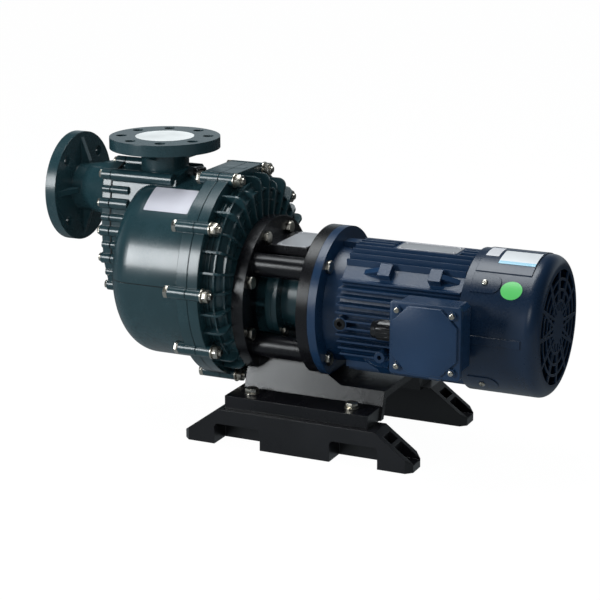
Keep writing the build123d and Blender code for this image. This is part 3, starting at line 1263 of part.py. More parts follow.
def make_box_screws():
    """Cover screws of the terminal box."""
    return Compound(children=[
        pin_y(BOX_FACE_Y - 3, BOX_FACE_Y, 4.5, x, z)
        + pin_y(BOX_FACE_Y, BOX_FACE_Y + BOX_COVER_T + 14, BOX_SCREW_D / 2, x, z)
        for x, z in box_screw_places()
    ])


def make_terminal_board():
    """Terminal board with six studs on the back of the box."""
    y1 = BOX_BACK_Y - BOX_WALL
    centre_z = SHAFT_Z + BOX_RISE
    parts = [block(BOX_X - 30, BOX_X + 30, y1 - 8, y1, centre_z - 20, centre_z + 20)]
    for dx in (-20, 0, 20):
        for dz in (-9, 9):
            parts.append(pin_y(y1 - 22, y1 - 7, 2.5, BOX_X + dx, centre_z + dz))
            parts.append(pin_y(y1 - 14, y1 - 7, 4.5, BOX_X + dx, centre_z + dz))
    return fuse(parts)


def make_gland_body():
    """Cable gland body, screwed into the box wall."""
    left = BOX_X - BOX_BASE / 2
    z = SHAFT_Z + BOX_RISE
    solid = fuse([
        rod(left, left + BOX_WALL + 6, GLAND_THREAD_R, GLAND_Y, z),
        hex_rod(left - GLAND_COLLAR_L, left, GLAND_HEX_AF, GLAND_Y, z),
        rod(left - GLAND_BODY_L, left - 6, GLAND_THREAD_R, GLAND_Y, z),
    ])
    return solid - rod(left - 60, left + 60, GLAND_BORE_R, GLAND_Y, z)


def make_gland_cap():
    """Cap nut of the cable gland with its rounded mouth."""
    left = BOX_X - BOX_BASE / 2
    z = SHAFT_Z + BOX_RISE
    x1 = left - GLAND_COLLAR_L
    x0 = x1 - GLAND_CAP_L
    solid = fuse([hex_rod(x0 + 8, x1, GLAND_HEX_AF, GLAND_Y, z), cone(x0, x0 + 9, 9.5, 13.5, GLAND_Y, z)])
    tools = [
        rod(left - GLAND_BODY_L - 0.5, x1 + 1, GLAND_THREAD_R + PLUG_CLEARANCE, GLAND_Y, z),
        rod(x0 - 1, x1 + 1, GLAND_BORE_R, GLAND_Y, z),
    ]
    return cut(solid, tools)


def make_port_film():
    """Round protective film, flush in the face of the discharge flange."""
    return post(DISCHARGE_TOP - FILM_T, DISCHARGE_TOP, PORT_FILM_D / 2, DISCHARGE_X, 0)


def make_priming_plug():
    """Priming plug: fluted knob with a threaded shank."""
    head = post(PRIMING_SEAT_Z, PRIMING_SEAT_Z + PRIMING_HEAD_H, PRIMING_PLUG_R, PRIMING_X, 0)
    flutes = []
    for i in range(KNOB_FLUTES):
        a = 2 * math.pi * i / KNOB_FLUTES
        flutes.append(post(PRIMING_SEAT_Z + KNOB_COLLAR_H, PRIMING_SEAT_Z + PRIMING_HEAD_H + 1, KNOB_FLUTE_R,
                           PRIMING_X + PRIMING_PLUG_R * math.cos(a), PRIMING_PLUG_R * math.sin(a)))
    shank = post(PRIMING_SEAT_Z - PLUG_THREAD_L, PRIMING_SEAT_Z, PLUG_THREAD_R, PRIMING_X, 0)
    return cut(head, flutes) + shank


def make_drain_plug():
    """Hexagon drain plug with a threaded shank."""
    head = hex_rod(DRAIN_FACE_X - DRAIN_HEAD_L, DRAIN_FACE_X, DRAIN_HEAD_AF, 0, DRAIN_Z)
    return head + rod(DRAIN_FACE_X, DRAIN_FACE_X + PLUG_THREAD_L, PLUG_THREAD_R, 0, DRAIN_Z)


NODES = {
    "pump_body": make_pump_body,
    "suction_cover": make_suction_cover,
    "suction_cover_gasket": make_cover_gasket,
    "suction_cover_screws": make_cover_screws,
    "rear_cover": make_rear_cover,
    "casing_gasket": make_casing_gasket,
    "casing_bolts": make_casing_bolts,
    "casing_washers": make_casing_washers,
    "casing_nuts": make_casing_nuts,
    "volute": make_volute,
    "impeller": make_impeller,
    "impeller_nut": make_impeller_nut,
    "pump_shaft": make_pump_shaft,
    "shaft_key": make_shaft_key,
    "seal_seat": make_seal_seat,
    "seal_ring": make_seal_ring,
    "seal_bellows": make_seal_bellows,
    "seal_gland": make_gland,
    "gland_screws": make_gland_screws,
    "bracket": make_bracket,
    "bracket_nameplate": make_nameplate,
    "bracket_bolts": make_bracket_bolts,
    "rail_front": lambda: make_rail(-1),
    "rail_rear": lambda: make_rail(1),
    "foot_bolts": make_foot_bolts,
    "foot_washers": make_foot_washers,
    "motor_front_shield": make_front_shield,
    "motor_flange_bolts": make_motor_flange_bolts,
    "motor_frame": make_motor_frame,
    "frame_plug": make_frame_plug,
    "motor_plate": make_motor_plate,
    "stator_core": make_stator_core,
    "stator_windings": make_windings,
    "rotor_core": make_rotor_core,
    "motor_shaft": make_motor_shaft,
    "front_bearing_outer": lambda: make_bearing_outer(FRONT_BEARING_X),
    "front_bearing_inner": lambda: make_bearing_inner(FRONT_BEARING_X),
    "rear_bearing_outer": lambda: make_bearing_outer(REAR_BEARING_X),
    "rear_bearing_inner": lambda: make_bearing_inner(REAR_BEARING_X),
    "motor_rear_shield": make_rear_shield,
    "cooling_fan": make_fan,
    "fan_cowl": make_cowl,
    "cowl_screws": make_cowl_screws,
    "terminal_box_base": make_box_base,
    "terminal_box_gasket": make_box_gasket,
    "terminal_box_cover": make_box_cover,
    "terminal_box_screws": make_box_screws,
    "terminal_board": make_terminal_board,
    "cable_gland_body": make_gland_body,
    "cable_gland_cap": make_gland_cap,
    "discharge_port_film": make_port_film,
    "priming_plug": make_priming_plug,
    "drain_plug": make_drain_plug,
}

for node, make in NODES.items():
    save(node, make())
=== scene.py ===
import json
import math

import bpy
from bpy.props import FloatProperty, FloatVectorProperty, IntProperty, PointerProperty
from bpy.types import Operator, Panel, PropertyGroup
from mathutils import Matrix, Vector


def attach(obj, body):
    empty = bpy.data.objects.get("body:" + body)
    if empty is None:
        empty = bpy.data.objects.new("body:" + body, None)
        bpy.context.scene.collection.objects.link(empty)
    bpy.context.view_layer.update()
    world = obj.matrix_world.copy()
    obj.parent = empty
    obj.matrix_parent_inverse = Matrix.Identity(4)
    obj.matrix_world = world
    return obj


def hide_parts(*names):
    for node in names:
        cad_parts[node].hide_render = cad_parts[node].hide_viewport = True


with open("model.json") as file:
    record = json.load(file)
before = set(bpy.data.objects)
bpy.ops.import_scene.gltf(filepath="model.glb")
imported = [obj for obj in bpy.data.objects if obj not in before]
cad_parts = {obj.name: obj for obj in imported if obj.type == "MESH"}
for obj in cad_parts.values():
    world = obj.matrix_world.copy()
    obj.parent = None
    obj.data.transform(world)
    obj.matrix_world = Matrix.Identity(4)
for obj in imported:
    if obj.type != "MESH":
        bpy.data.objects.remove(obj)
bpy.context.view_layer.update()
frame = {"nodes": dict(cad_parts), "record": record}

bl_info = {
    "name": "Self-priming chemical pump",
    "version": (1, 0, 0),
    "blender": (4, 5, 0),
    "location": "3D View > Sidebar > Pump",
    "description": "Finishes and details of a close-coupled self-priming pump",
    "category": "Object",
}


# Sizes and colours that a user would change

class PumpColours(PropertyGroup):
    """Base colours of the pump's finishes."""

    casing: FloatVectorProperty(
        name="Casing", description="Moulded casing plastic", subtype="COLOR",
        default=(0.012, 0.036, 0.044))
    bracket: FloatVectorProperty(
        name="Bracket", description="Paint of the cast bracket", subtype="COLOR",
        default=(0.003, 0.003, 0.0042))
    rail: FloatVectorProperty(
        name="Rails", description="Paint of the base rails", subtype="COLOR",
        default=(0.004, 0.004, 0.0055))
    motor: FloatVectorProperty(
        name="Motor", description="Paint of the motor", subtype="COLOR",
        default=(0.006, 0.027, 0.070))
    steel: FloatVectorProperty(
        name="Fasteners", description="Stainless fasteners", subtype="COLOR",
        default=(0.62, 0.60, 0.55))


class PumpSizes(PropertyGroup):
    """Sizes of the small parts that are modelled here."""

    box_cover: FloatProperty(
        name="Box cover", description="Side of the terminal box cover", unit="LENGTH",
        default=0.114)
    box_field: FloatProperty(
        name="Box field", description="Height of the cover's raised field", unit="LENGTH",
        default=0.0045)
    large_flats: FloatProperty(
        name="Large hexagon", description="Across flats of the M12 heads and nuts", unit="LENGTH",
        default=0.019)
    small_flats: FloatProperty(
        name="Small hexagon", description="Across flats of the M8 heads", unit="LENGTH",
        default=0.013)
    stud_end: FloatProperty(
        name="Stud end", description="Thread past each casing nut", unit="LENGTH", default=0.004)
    pitch: FloatProperty(
        name="Thread pitch", description="Pitch of the visible M12 threads", unit="LENGTH",
        default=0.00175)
    label_thickness: FloatProperty(
        name="Label thickness", description="Thickness of the blank labels", unit="LENGTH",
        default=0.0003)
    grip_ribs: IntProperty(
        name="Grip ribs", description="Ribs round the cap of the cable gland", default=14)
    knob_ribs: IntProperty(
        name="Knob ribs", description="Ribs round the priming knob", default=8)


class PumpStage(PropertyGroup):
    """Camera and light levels."""

    azimuth: FloatProperty(
        name="Azimuth", description="Camera direction round the pump", subtype="ANGLE",
        default=math.radians(24.84))
    elevation: FloatProperty(
        name="Elevation", description="Camera height above the horizon", subtype="ANGLE",
        default=math.radians(15.36))
    distance: FloatProperty(
        name="Distance", description="Camera to the point it looks at", unit="LENGTH",
        default=3.0477)
    target: FloatVectorProperty(
        name="Target", description="Point the camera looks at", subtype="XYZ", unit="LENGTH",
        default=(-0.0580, 0.0, 0.2150))
    focal: FloatProperty(
        name="Focal length", description="In millimetres, for a 36 mm sensor", default=111.04)
    side_power: FloatProperty(
        name="Side light", description="Power of the upright softbox at the left", unit="POWER",
        default=34.0)
    key_power: FloatProperty(
        name="Top light", description="Power of the large light above", unit="POWER", default=34.0)
    fill_power: FloatProperty(
        name="Front light", description="Power of the light over the camera", unit="POWER",
        default=8.0)
    world_level: FloatProperty(
        name="World", description="Strength of the surrounding white on matt surfaces",
        default=0.30)
    studio_level: FloatProperty(
        name="Studio", description="What reflections see in front of the pump", default=0.05)
    floor_shadow: FloatProperty(
        name="Floor shadow", description="Share of the floor's real shading that shows",
        default=0.04)
    floor_gleam: FloatProperty(
        name="Floor gleam", description="Level that reflections see in the floor before the pump",
        default=0.30)
    backdrop_level: FloatProperty(
        name="Backdrop", description="Level that reflections see behind the pump", default=0.60)


# Places on the CAD part, in metres

SHAFT_Z = 0.222                 # shaft above the floor
CASING_Z = 0.254                # centre of the casing's ring above the floor
BODY_SEAT_X = -0.208            # under the heads of the casing bolts
COVER_SEAT_X = -0.149           # under the washers of the casing bolts
CASING_BOLTS = 10
CASING_CIRCLE = 0.344           # bolt circles are diameters
COVER_PLATE_X = -0.397          # outer face of the suction cover
COVER_SCREW_TOP = 0.198         # single screws above and below the shaft
COVER_SCREW_BOTTOM = -0.029
COVER_SCREW_PAIRS = (           # height above the shaft and half the spacing
    (0.185, 0.049), (0.138, 0.0575), (0.091, 0.0605), (0.0435, 0.0585), (-0.0075, 0.0415))
BRACKET_SEAT_X = -0.099
BRACKET_BOLTS = 8
BRACKET_CIRCLE = 0.224
GLAND_SEAT_X = -0.065
GLAND_CIRCLE = 0.136
FLANGE_SEAT_X = 0.025
FLANGE_CIRCLE = 0.215
FEET = [(x, y) for x in (-0.092, 0.084) for y in (-0.112, 0.112)]
FOOT_Z = 0.082                  # top of the bracket's feet
COWL_R = 0.114
COWL_SCREW_X = 0.289
BOX_FACE = (0.229, -0.180, 0.228)
BOX_SCREW_AT = 0.044            # from the centre of the terminal box's face, both ways
GLAND_CAP = (0.145, -0.147, 0.228)
PRIMING_SEAT = (-0.241, 0, 0.410)
DRAIN_SEAT = (-0.350, 0, 0.117)
FRAME_PLUG = (0.060, -0.107, 0.216)

# Fasteners

M12_R = 0.006
M8_R = 0.004
HEX_L = 0.0075                  # height of the M12 heads
SMALL_HEX_L = 0.0055            # height of the M8 heads
NUT_L = 0.0105
WASHER_T = 0.0025
WASHER_R = 0.012

# Radii to which shading rounds the edges

CASING_EDGE = 0.0020
CAST_EDGE = 0.0016
MOTOR_EDGE = 0.0012

SMOOTH_ANGLE = math.radians(35.0)       # edges sharper than this stay hard


# Shader maths

class Signal:
    """An output socket that Python expressions can be written on."""

    def __init__(self, finish, socket):
        self.finish = finish
        self.socket = socket

    def maths(self, operation, *values):
        """A Math node on values and sockets."""
        return self.finish.node(
            "ShaderNodeMath", {"operation": operation}, dict(enumerate(values)))

    def __add__(self, other):
        return self.maths("ADD", self, other)

    def __sub__(self, other):
        return self.maths("SUBTRACT", self, other)

    def __rsub__(self, other):
        return self.maths("SUBTRACT", other, self)

    def __mul__(self, other):
        return self.maths("MULTIPLY", self, other)

    def __lt__(self, other):
        return self.maths("LESS_THAN", self, other)

    def __gt__(self, other):
        return self.maths("GREATER_THAN", self, other)

    def __abs__(self):
        return self.maths("ABSOLUTE", self)

    __radd__ = __add__
    __rmul__ = __mul__


class Finish:
    """One material, built on a Principled shader, or the nodes of the world."""

    def __init__(self, name, owner=None):
        self.material = owner or bpy.data.materials.new(name)
        self.material.use_nodes = True
        self.tree = self.material.node_tree
        self.shader = self.tree.nodes.get("Principled BSDF")
        self.output = self.tree.nodes.get("Material Output")

    def feed(self, socket, value):
        """Link a signal to a socket, or set the socket to a value."""
        if isinstance(value, Signal):
            self.tree.links.new(value.socket, socket)
        else:
            socket.default_value = value

    def node(self, kind, settings=None, values=None, output=0):
        """Add a node, set it, feed its sockets and return one of its outputs."""
        made = self.tree.nodes.new(kind)
        for key, value in (settings or {}).items():
            setattr(made, key, value)
        for key, value in (values or {}).items():
            self.feed(made.inputs[key], value)
        return Signal(self, made.outputs[output])

    def set(self, **values):
        """Set or link sockets of the Principled shader, with spaces written as underscores."""
        for key, value in values.items():
            self.feed(self.shader.inputs[key.replace("_", " ")], value)

    def place(self):
        """Object coordinates, in metres."""
        return self.node("ShaderNodeTexCoord", output="Object")

    def axes(self, vector=None):
        """The three parts of a vector, or of the object coordinates."""
        split = self.node("ShaderNodeSeparateXYZ", values={0: vector or self.place()})
        return [Signal(self, part) for part in split.socket.node.outputs]

    def noise(self, scale, detail=3.0, roughness=0.5):
        """Noise from 0 to 1 at a scale per metre."""
        return self.node("ShaderNodeTexNoise", values={
            "Vector": self.place(), "Scale": scale, "Detail": detail, "Roughness": roughness})

    def spread(self, signal, low, high, out_low=0.0, out_high=1.0):
        """Map a range to another range, clamped."""
        return self.node("ShaderNodeMapRange", values={
            "Value": signal, "From Min": low, "From Max": high,
            "To Min": out_low, "To Max": out_high})

    def blend(self, factor, first, second):
        """Mix two colours."""
        return self.node(
            "ShaderNodeMix", {"data_type": "RGBA"}, {"Factor": factor, 6: first, 7: second},
            output=2)

    def mottled(self, pattern, colour, dark, light):
        """A colour that a noise makes darker and lighter."""
        return self.blend(self.spread(pattern, 0.3, 0.7), rgba(colour, dark), rgba(colour, light))

    def bump(self, height, distance, strength=1.0, edge=0.0):
        """A bump node that feeds the normal, over edges rounded by a small radius."""
        values = {"Height": height, "Distance": distance, "Strength": strength}
        if edge:
            values["Normal"] = self.node("ShaderNodeBevel", {"samples": 4}, {"Radius": edge})
        return self.node("ShaderNodeBump", values=values)


def rgba(colour, level=1.0):
    """A colour with alpha, made lighter or darker."""
    return tuple(part * level for part in colour[:3]) + (1.0,)


# Finishes

def casing_plastic(colours):
    """Glossy dark moulded plastic with slow flow marks, fine grain and a parting groove, along
    which shade is painted darker.
    """
    finish = Finish("casing_plastic")
    flow = finish.noise(7.0, 4.0, 0.6)
    grain = finish.noise(900.0, 2.0, 0.6)
    waves = finish.noise(45.0, 2.0, 0.5)
    base = finish.mottled(flow, colours.casing, 0.85, 1.25)
    groove_and_shade = parting_groove_and_shade(finish)
    finish.set(
        # The parting groove's colour is darkened to 0.3 of the casing: painted shade in the groove;
        # the bump below presses the groove itself.
        Base_Color=finish.blend(groove_and_shade, base, rgba(colours.casing, 0.3)),
        Roughness=finish.spread(flow + grain * 0.4, 0.4, 1.0, 0.20, 0.32),
        Normal=finish.bump(waves * 0.5 + grain * 0.05 - groove_and_shade, 0.0004, 0.3, CASING_EDGE),
        Specular_IOR_Level=0.5, Coat_Weight=0.15, Coat_Roughness=0.12,
    )
    return finish.material


def parting_groove_and_shade(finish):
    """1 along the seam that the mould's halves leave on both sides of the bowl, else 0; it marks
    the groove and the painted shade in it.
    """
    x, y, z = finish.axes()
    near_line = abs(z - CASING_Z) < 0.0009
    on_bowl = (x < -0.215) * (abs(y) > 0.085)
    return near_line * on_bowl


def black_paint(name, colour, grain, drift, rough, strength, specular=0.5):
    """Black paint on iron, with grain and drift given as noise scales."""
    finish = Finish(name)
    fine = finish.noise(grain, 3.0, 0.6)
    slow = finish.noise(drift, 3.0, 0.5)
    finish.set(
        Base_Color=finish.mottled(slow, colour, 0.8, 1.5),
        Roughness=finish.spread(slow + fine * 0.3, 0.35, 0.95, *rough),
        Normal=finish.bump(fine, 0.0003, strength, CAST_EDGE),
        Specular_IOR_Level=specular,
    )
    return finish.material


def motor_paint(colours, name="motor_paint", cast=1.0, painted_shade=1.0):
    """Dark blue machine enamel, rougher where the metal is cast, with its colour darkened by a
    factor as painted shade where asked.
    """
    finish = Finish(name)
    peel = finish.noise(260.0, 3.0, 0.55)
    slow = finish.noise(8.0, 3.0, 0.5)
    finish.set(
        Base_Color=finish.mottled(slow, colours.motor, 0.85 * painted_shade, 1.3 * painted_shade),
        Roughness=finish.spread(slow + peel * 0.4, 0.4, 1.0, 0.24, 0.38),
        Normal=finish.bump(peel, 0.0004, 0.4 * cast, MOTOR_EDGE),
    )
    return finish.material


def stainless(colours):
    """Turned and brushed stainless steel."""
    finish = Finish("stainless")
    fine = finish.noise(1500.0, 2.0, 0.6)
    stain = finish.noise(60.0, 3.0, 0.6)
    tarnish = (0.50, 0.45, 0.36, 1.0)
    finish.set(
        Base_Color=finish.blend(finish.spread(stain, 0.35, 0.75), rgba(colours.steel), tarnish),
        Metallic=1.0,
        Roughness=finish.spread(stain + fine * 0.3, 0.4, 1.0, 0.20, 0.42),
        Normal=finish.bump(fine, 0.0001, 0.4),
    )
    return finish.material


def ground_steel(colours):
    """Ground shaft steel."""
    finish = Finish("shaft_steel")
    fine = finish.noise(900.0, 2.0, 0.6)
    finish.set(
        Base_Color=finish.blend(fine, (0.42, 0.42, 0.43, 1), (0.6, 0.6, 0.6, 1)), Metallic=1.0,
        Roughness=finish.spread(fine, 0.3, 0.7, 0.22, 0.38),
    )
    return finish.material


def laminated_steel(colours):
    """Core sheets stacked along X, each 0.5 mm thick."""
    finish = Finish("core_steel")
    x = finish.axes()[0]
    sheet = 0.0005
    sheets = x.maths("PINGPONG", x, sheet) * (1.0 / sheet)
    finish.set(
        Base_Color=finish.blend(sheets, (0.16, 0.16, 0.17, 1), (0.30, 0.30, 0.31, 1)),
        Metallic=0.8, Roughness=0.45, Normal=finish.bump(sheets, 0.0002, 0.4),
    )
    return finish.material


def copper(colours):
    """Varnished copper end turns."""
    finish = Finish("copper")
    strands = finish.noise(350.0, 3.0, 0.6)
    finish.set(
        Base_Color=finish.blend(strands, (0.28, 0.09, 0.03, 1), (0.55, 0.22, 0.09, 1)),
        Metallic=0.7, Roughness=0.38, Normal=finish.bump(strands, 0.001, 0.6),
    )
    return finish.material


def plain(name, colour, rough=(0.4, 0.55), metallic=0.0, grain=500.0, depth=0.0002):
    """A fine-grained finish with some variation."""
    finish = Finish(name)
    fine = finish.noise(grain, 3.0, 0.6)
    slow = finish.noise(14.0, 2.0, 0.5)
    finish.set(
        Base_Color=finish.mottled(slow, colour, 0.88, 1.08),
        Metallic=metallic,
        Roughness=finish.spread(slow + fine * 0.3, 0.4, 0.95, *rough),
        Normal=finish.bump(fine, depth, 0.4),
    )
    return finish.material


def label_paper(name, colour, edge=False):
    """Label stock left blank, faintly uneven, with a pale blue margin where asked."""
    finish = Finish(name)
    fibre = finish.noise(700.0, 3.0, 0.6)
    slow = finish.noise(30.0, 2.0, 0.5)
    base = finish.mottled(slow, colour, 0.97, 1.03)
    if edge:
        base = finish.blend(finish.axes()[1] < -0.040, base, (0.32, 0.62, 0.78, 1.0))
    finish.set(
        Base_Color=base, Roughness=finish.spread(fibre, 0.3, 0.7, 0.28, 0.4),
        Coat_Weight=0.2, Coat_Roughness=0.15,
    )
    return finish.material


# How each material slot of the part is made

FINISHES = {
    "casing_plastic": casing_plastic,
    "bracket_iron": lambda c: black_paint(
        "bracket_paint", c.bracket, 750.0, 11.0, (0.18, 0.34), 0.4, 0.40),
    "rail_iron": lambda c: black_paint("rail_paint", c.rail, 650.0, 9.0, (0.24, 0.40), 0.3),
    "motor_paint": motor_paint,
    # The cowl takes the motor's paint darkened to 0.60 of its colour: painted shade.
    "cowl_paint": lambda c: motor_paint(c, "cowl_paint", cast=0.45, painted_shade=0.60),
    "stainless": stainless,
    "shaft_steel": ground_steel,
    "core_steel": laminated_steel,
    "copper": copper,
    "casing_rubber": lambda c: plain("casing_rubber", (0.02, 0.02, 0.02), (0.6, 0.8)),
    "seal_ceramic": lambda c: plain("seal_ceramic", (0.8, 0.77, 0.7), (0.25, 0.35)),
    "seal_carbon": lambda c: plain("seal_carbon", (0.04, 0.04, 0.045), (0.3, 0.4)),
    "seal_white": lambda c: plain("seal_white", (0.82, 0.82, 0.8), (0.35, 0.5)),
    "plate_metal": lambda c: plain(
        "plate_metal", (0.52, 0.52, 0.54), (0.30, 0.45), 0.55, 900.0, 0.0001),
    "fan_plastic": lambda c: plain("fan_plastic", (0.03, 0.03, 0.033), (0.4, 0.55)),
    "black_plastic": lambda c: plain("black_plastic", (0.004, 0.004, 0.005), (0.16, 0.28)),
    "film_white": lambda c: plain(
        "film_white", (0.80, 0.81, 0.80), (0.35, 0.5), 0.0, 200.0, 0.0001),
}

MATERIAL_NAMES = {}             # the material made for each slot


# Modelling

def new_start():
    """Leave edit mode and deselect everything."""
    if bpy.context.object and bpy.context.object.mode != "OBJECT":
        bpy.ops.object.mode_set(mode="OBJECT")
    bpy.ops.object.select_all(action="DESELECT")


def focus(piece):
    """Select one piece alone and make it active."""
    new_start()
    piece.select_set(True)
    bpy.context.view_layer.objects.active = piece


def edit_all():
    """Open the active piece for editing, with everything selected."""
    bpy.ops.object.mode_set(mode="EDIT")
    bpy.ops.mesh.select_all(action="SELECT")


def settle(name=None):
    """Put the active piece's place into its mesh and name it."""
    piece = bpy.context.active_object
    if piece.mode != "OBJECT":
        bpy.ops.object.mode_set(mode="OBJECT")
    bpy.ops.object.transform_apply(location=True, rotation=True, scale=True)
    if name:
        piece.name = name
        piece.data.name = name
    return piece


def pick(kind, test):
    """In edit mode, select the faces, edges or vertices that pass a test on their place."""
    mesh = bpy.context.active_object.data
    bpy.ops.mesh.select_mode(type=kind)
    bpy.ops.mesh.select_all(action="DESELECT")
    bpy.ops.object.mode_set(mode="OBJECT")
    if kind == "FACE":
        for face in mesh.polygons:
            face.select = test(face.center, face.normal)
    elif kind == "EDGE":
        for edge in mesh.edges:
            ends = [mesh.vertices[i].co for i in edge.vertices]
            edge.select = test((ends[0] + ends[1]) / 2, ends[1] - ends[0])
    else:
        for vertex in mesh.vertices:
            vertex.select = test(vertex.co, None)
    bpy.ops.object.mode_set(mode="EDIT")


def apply_modifier(piece, kind, **settings):
    """Add a modifier, set it and apply it."""
    modifier = piece.modifiers.new(kind.lower(), kind)
    for key, value in settings.items():
        setattr(modifier, key, value)
    bpy.context.view_layer.objects.active = piece
    bpy.ops.object.modifier_apply(modifier=modifier.name)


def combine(piece, other, operation):
    """Apply a boolean with another object and remove that object."""
    apply_modifier(piece, "BOOLEAN", operation=operation, object=other, solver="EXACT")
    bpy.data.objects.remove(other, do_unlink=True)
    return piece


def soften(piece, width, segments=2, angle=30.0):
    """Round the sharp edges of a piece and shade it by angle."""
    apply_modifier(
        piece, "BEVEL", width=width, segments=segments, limit_method="ANGLE",
        angle_limit=math.radians(angle), harden_normals=False)
    focus(piece)
    bpy.ops.object.shade_smooth_by_angle(angle=SMOOTH_ANGLE)
    return piece


def post(radius, low, high, sides=32):
    """A plain round bar along Z."""
    new_start()
    bpy.ops.mesh.primitive_cylinder_add(
        vertices=sides, radius=radius, depth=high - low, location=(0, 0, (low + high) / 2))
    return settle()


def turned(profile, sides=32, bore=0.0):
    """A part turned about Z: a disc is extruded and scaled along a list of heights and radii."""
    new_start()
    (height, radius), rest = profile[0], profile[1:]
    bpy.ops.mesh.primitive_circle_add(
        vertices=sides, radius=radius, fill_type="NGON", location=(0, 0, height))
    piece = settle()
    edit_all()
    for next_height, next_radius in rest:
        bpy.ops.mesh.extrude_region_move(
            TRANSFORM_OT_translate={"value": (0, 0, next_height - height)})
        factor = next_radius / radius
        bpy.ops.transform.resize(
            value=(factor, factor, 1.0), center_override=(0, 0, next_height))
        height, radius = next_height, next_radius
    bpy.ops.mesh.select_all(action="SELECT")
    bpy.ops.mesh.normals_make_consistent(inside=False)
    bpy.ops.object.mode_set(mode="OBJECT")
    if bore:
        low, high = profile[0][0], profile[-1][0]
        combine(piece, post(bore, low - 0.01, high + 0.01, sides), "DIFFERENCE")
    return piece


def hexagon(flats, low, high, chamfer_low=False, chamfer_high=True):
    """A hexagon bar along Z whose ends are chamfered as by a lathe."""
    piece = post(flats / math.sqrt(3), low, high, 6)
    face = 0.475 * flats
    corner = 0.59 * flats
    drop = (corner - face) * math.tan(math.radians(30.0))
    profile = [(low, face), (low + drop, corner)] if chamfer_low else [(low, corner)]
    profile += [(high - drop, corner), (high, face)] if chamfer_high else [(high, corner)]
    return combine(piece, turned(profile, 48), "INTERSECT")


def square_plate(side, corner, low, high, segments=1):
    """A square plate along Z whose four corners are cut, or rounded with more segments."""
    new_start()
    bpy.ops.mesh.primitive_cube_add(size=1.0, location=(0, 0, (low + high) / 2))
    piece = bpy.context.active_object
    piece.scale = (side, side, high - low)
    settle()
    bpy.ops.object.mode_set(mode="EDIT")
    pick("EDGE", lambda place, way: abs(way.z) > 0.9 * (high - low))
    bpy.ops.mesh.bevel(offset=corner, segments=segments, affect="EDGES")
    bpy.ops.object.mode_set(mode="OBJECT")
    return piece


def join(pieces, name):
    """Join pieces into one under a name."""
    new_start()
    for piece in pieces:
        piece.select_set(True)
    bpy.context.view_layer.objects.active = pieces[0]
    if len(pieces) > 1:
        bpy.ops.object.join()
    return settle(name)


def placed(piece, place, direction, turn=0.0):
    """A copy of a piece that was made along Z, pointed in a direction at a place."""
    focus(piece)
    bpy.ops.object.duplicate(linked=False)
    copy = bpy.context.active_object
    turning = Vector(direction).to_track_quat("Z", "Y").to_matrix().to_4x4()
    copy.matrix_world = Matrix.Translation(place) @ turning @ Matrix.Rotation(turn, 4, "Z")
    return settle()


def copies(piece, places, name):
    """Copy a piece to each place and direction, join the copies and drop the first."""
    made = [placed(piece, *where) for where in places]
    bpy.data.objects.remove(piece, do_unlink=True)
    return join(made, name)


def circle_places(count, diameter, first, x, direction, axis_z=SHAFT_Z, lean=0.35):
    """Places on a bolt circle about the shaft's direction, each turned a little differently."""
    made = []
    for i in range(count):
        angle = math.radians(first + 360.0 * i / count)
        place = (x, diameter / 2 * math.cos(angle), axis_z + diameter / 2 * math.sin(angle))
        made.append((place, direction, lean * (i * i + 1)))
    return made


def finish_piece(piece, slot, body="frame", replaces=None, material=None):
    """Give a piece its finish, its body and the node that it stands for."""
    piece.data.materials.clear()
    piece.data.materials.append(material or bpy.data.materials[MATERIAL_NAMES[slot]])
    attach(piece, body)
    if replaces:
        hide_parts(replaces)
    return piece


# Fasteners

def thread(radius, low, high, pitch, sides=24):
    """A threaded end along Z with a chamfered tip."""
    depth = 0.3 * pitch
    profile = [(low, radius - depth)]
    height = low
    while height + pitch < high:
        profile += [(height + 0.45 * pitch, radius), (height + 0.55 * pitch, radius)]
        profile += [(height + pitch, radius - depth)]
        height += pitch
    profile += [(high, radius - 1.6 * depth)]
    return turned(profile, sides)


def bolt_with_shank(flats, height, radius, length):
    """A hexagon bolt along Z: its seat is at 0, its head above and its shank below."""
    head = soften(hexagon(flats, 0.0003, height), 0.0002, 1)
    collar = turned([(0.0, 0.47 * flats), (0.0004, 0.47 * flats)], 32)
    shank = turned([(-length, 0.8 * radius), (-length + 0.001, radius), (0.0001, radius)], 24)
    return join([head, collar, shank], "bolt")


def flat_washer():
    """A plain M12 washer along Z."""
    return soften(turned([(0.0, WASHER_R), (WASHER_T, WASHER_R)], 32, M12_R + 0.0004), 0.0003)


def cross_screw(radius, height, shank_radius, length):
    """A pan head screw along Z with a cross recess."""
    head = turned([(0.0, radius), (0.45 * height, radius), (0.8 * height, 0.86 * radius),
                   (height, 0.6 * radius)], 32)
    for turn in (0.0, math.pi / 2):
        new_start()
        bpy.ops.mesh.primitive_cube_add(size=1.0, location=(0, 0, height), rotation=(0, 0, turn))
        blade = bpy.context.active_object
        blade.scale = (1.1 * radius, 0.22 * radius, 1.1 * height)
        combine(head, settle(), "DIFFERENCE")
    shank = turned([(-length, shank_radius), (0.0001, shank_radius)], 16)
    return join([soften(head, 0.00015, 1), shank], "screw")


def fasten(piece, places, name, node):
    """Copy a fastener to its places as one stainless piece that stands for a node."""
    finish_piece(copies(piece, places, name), "stainless", replaces=node)


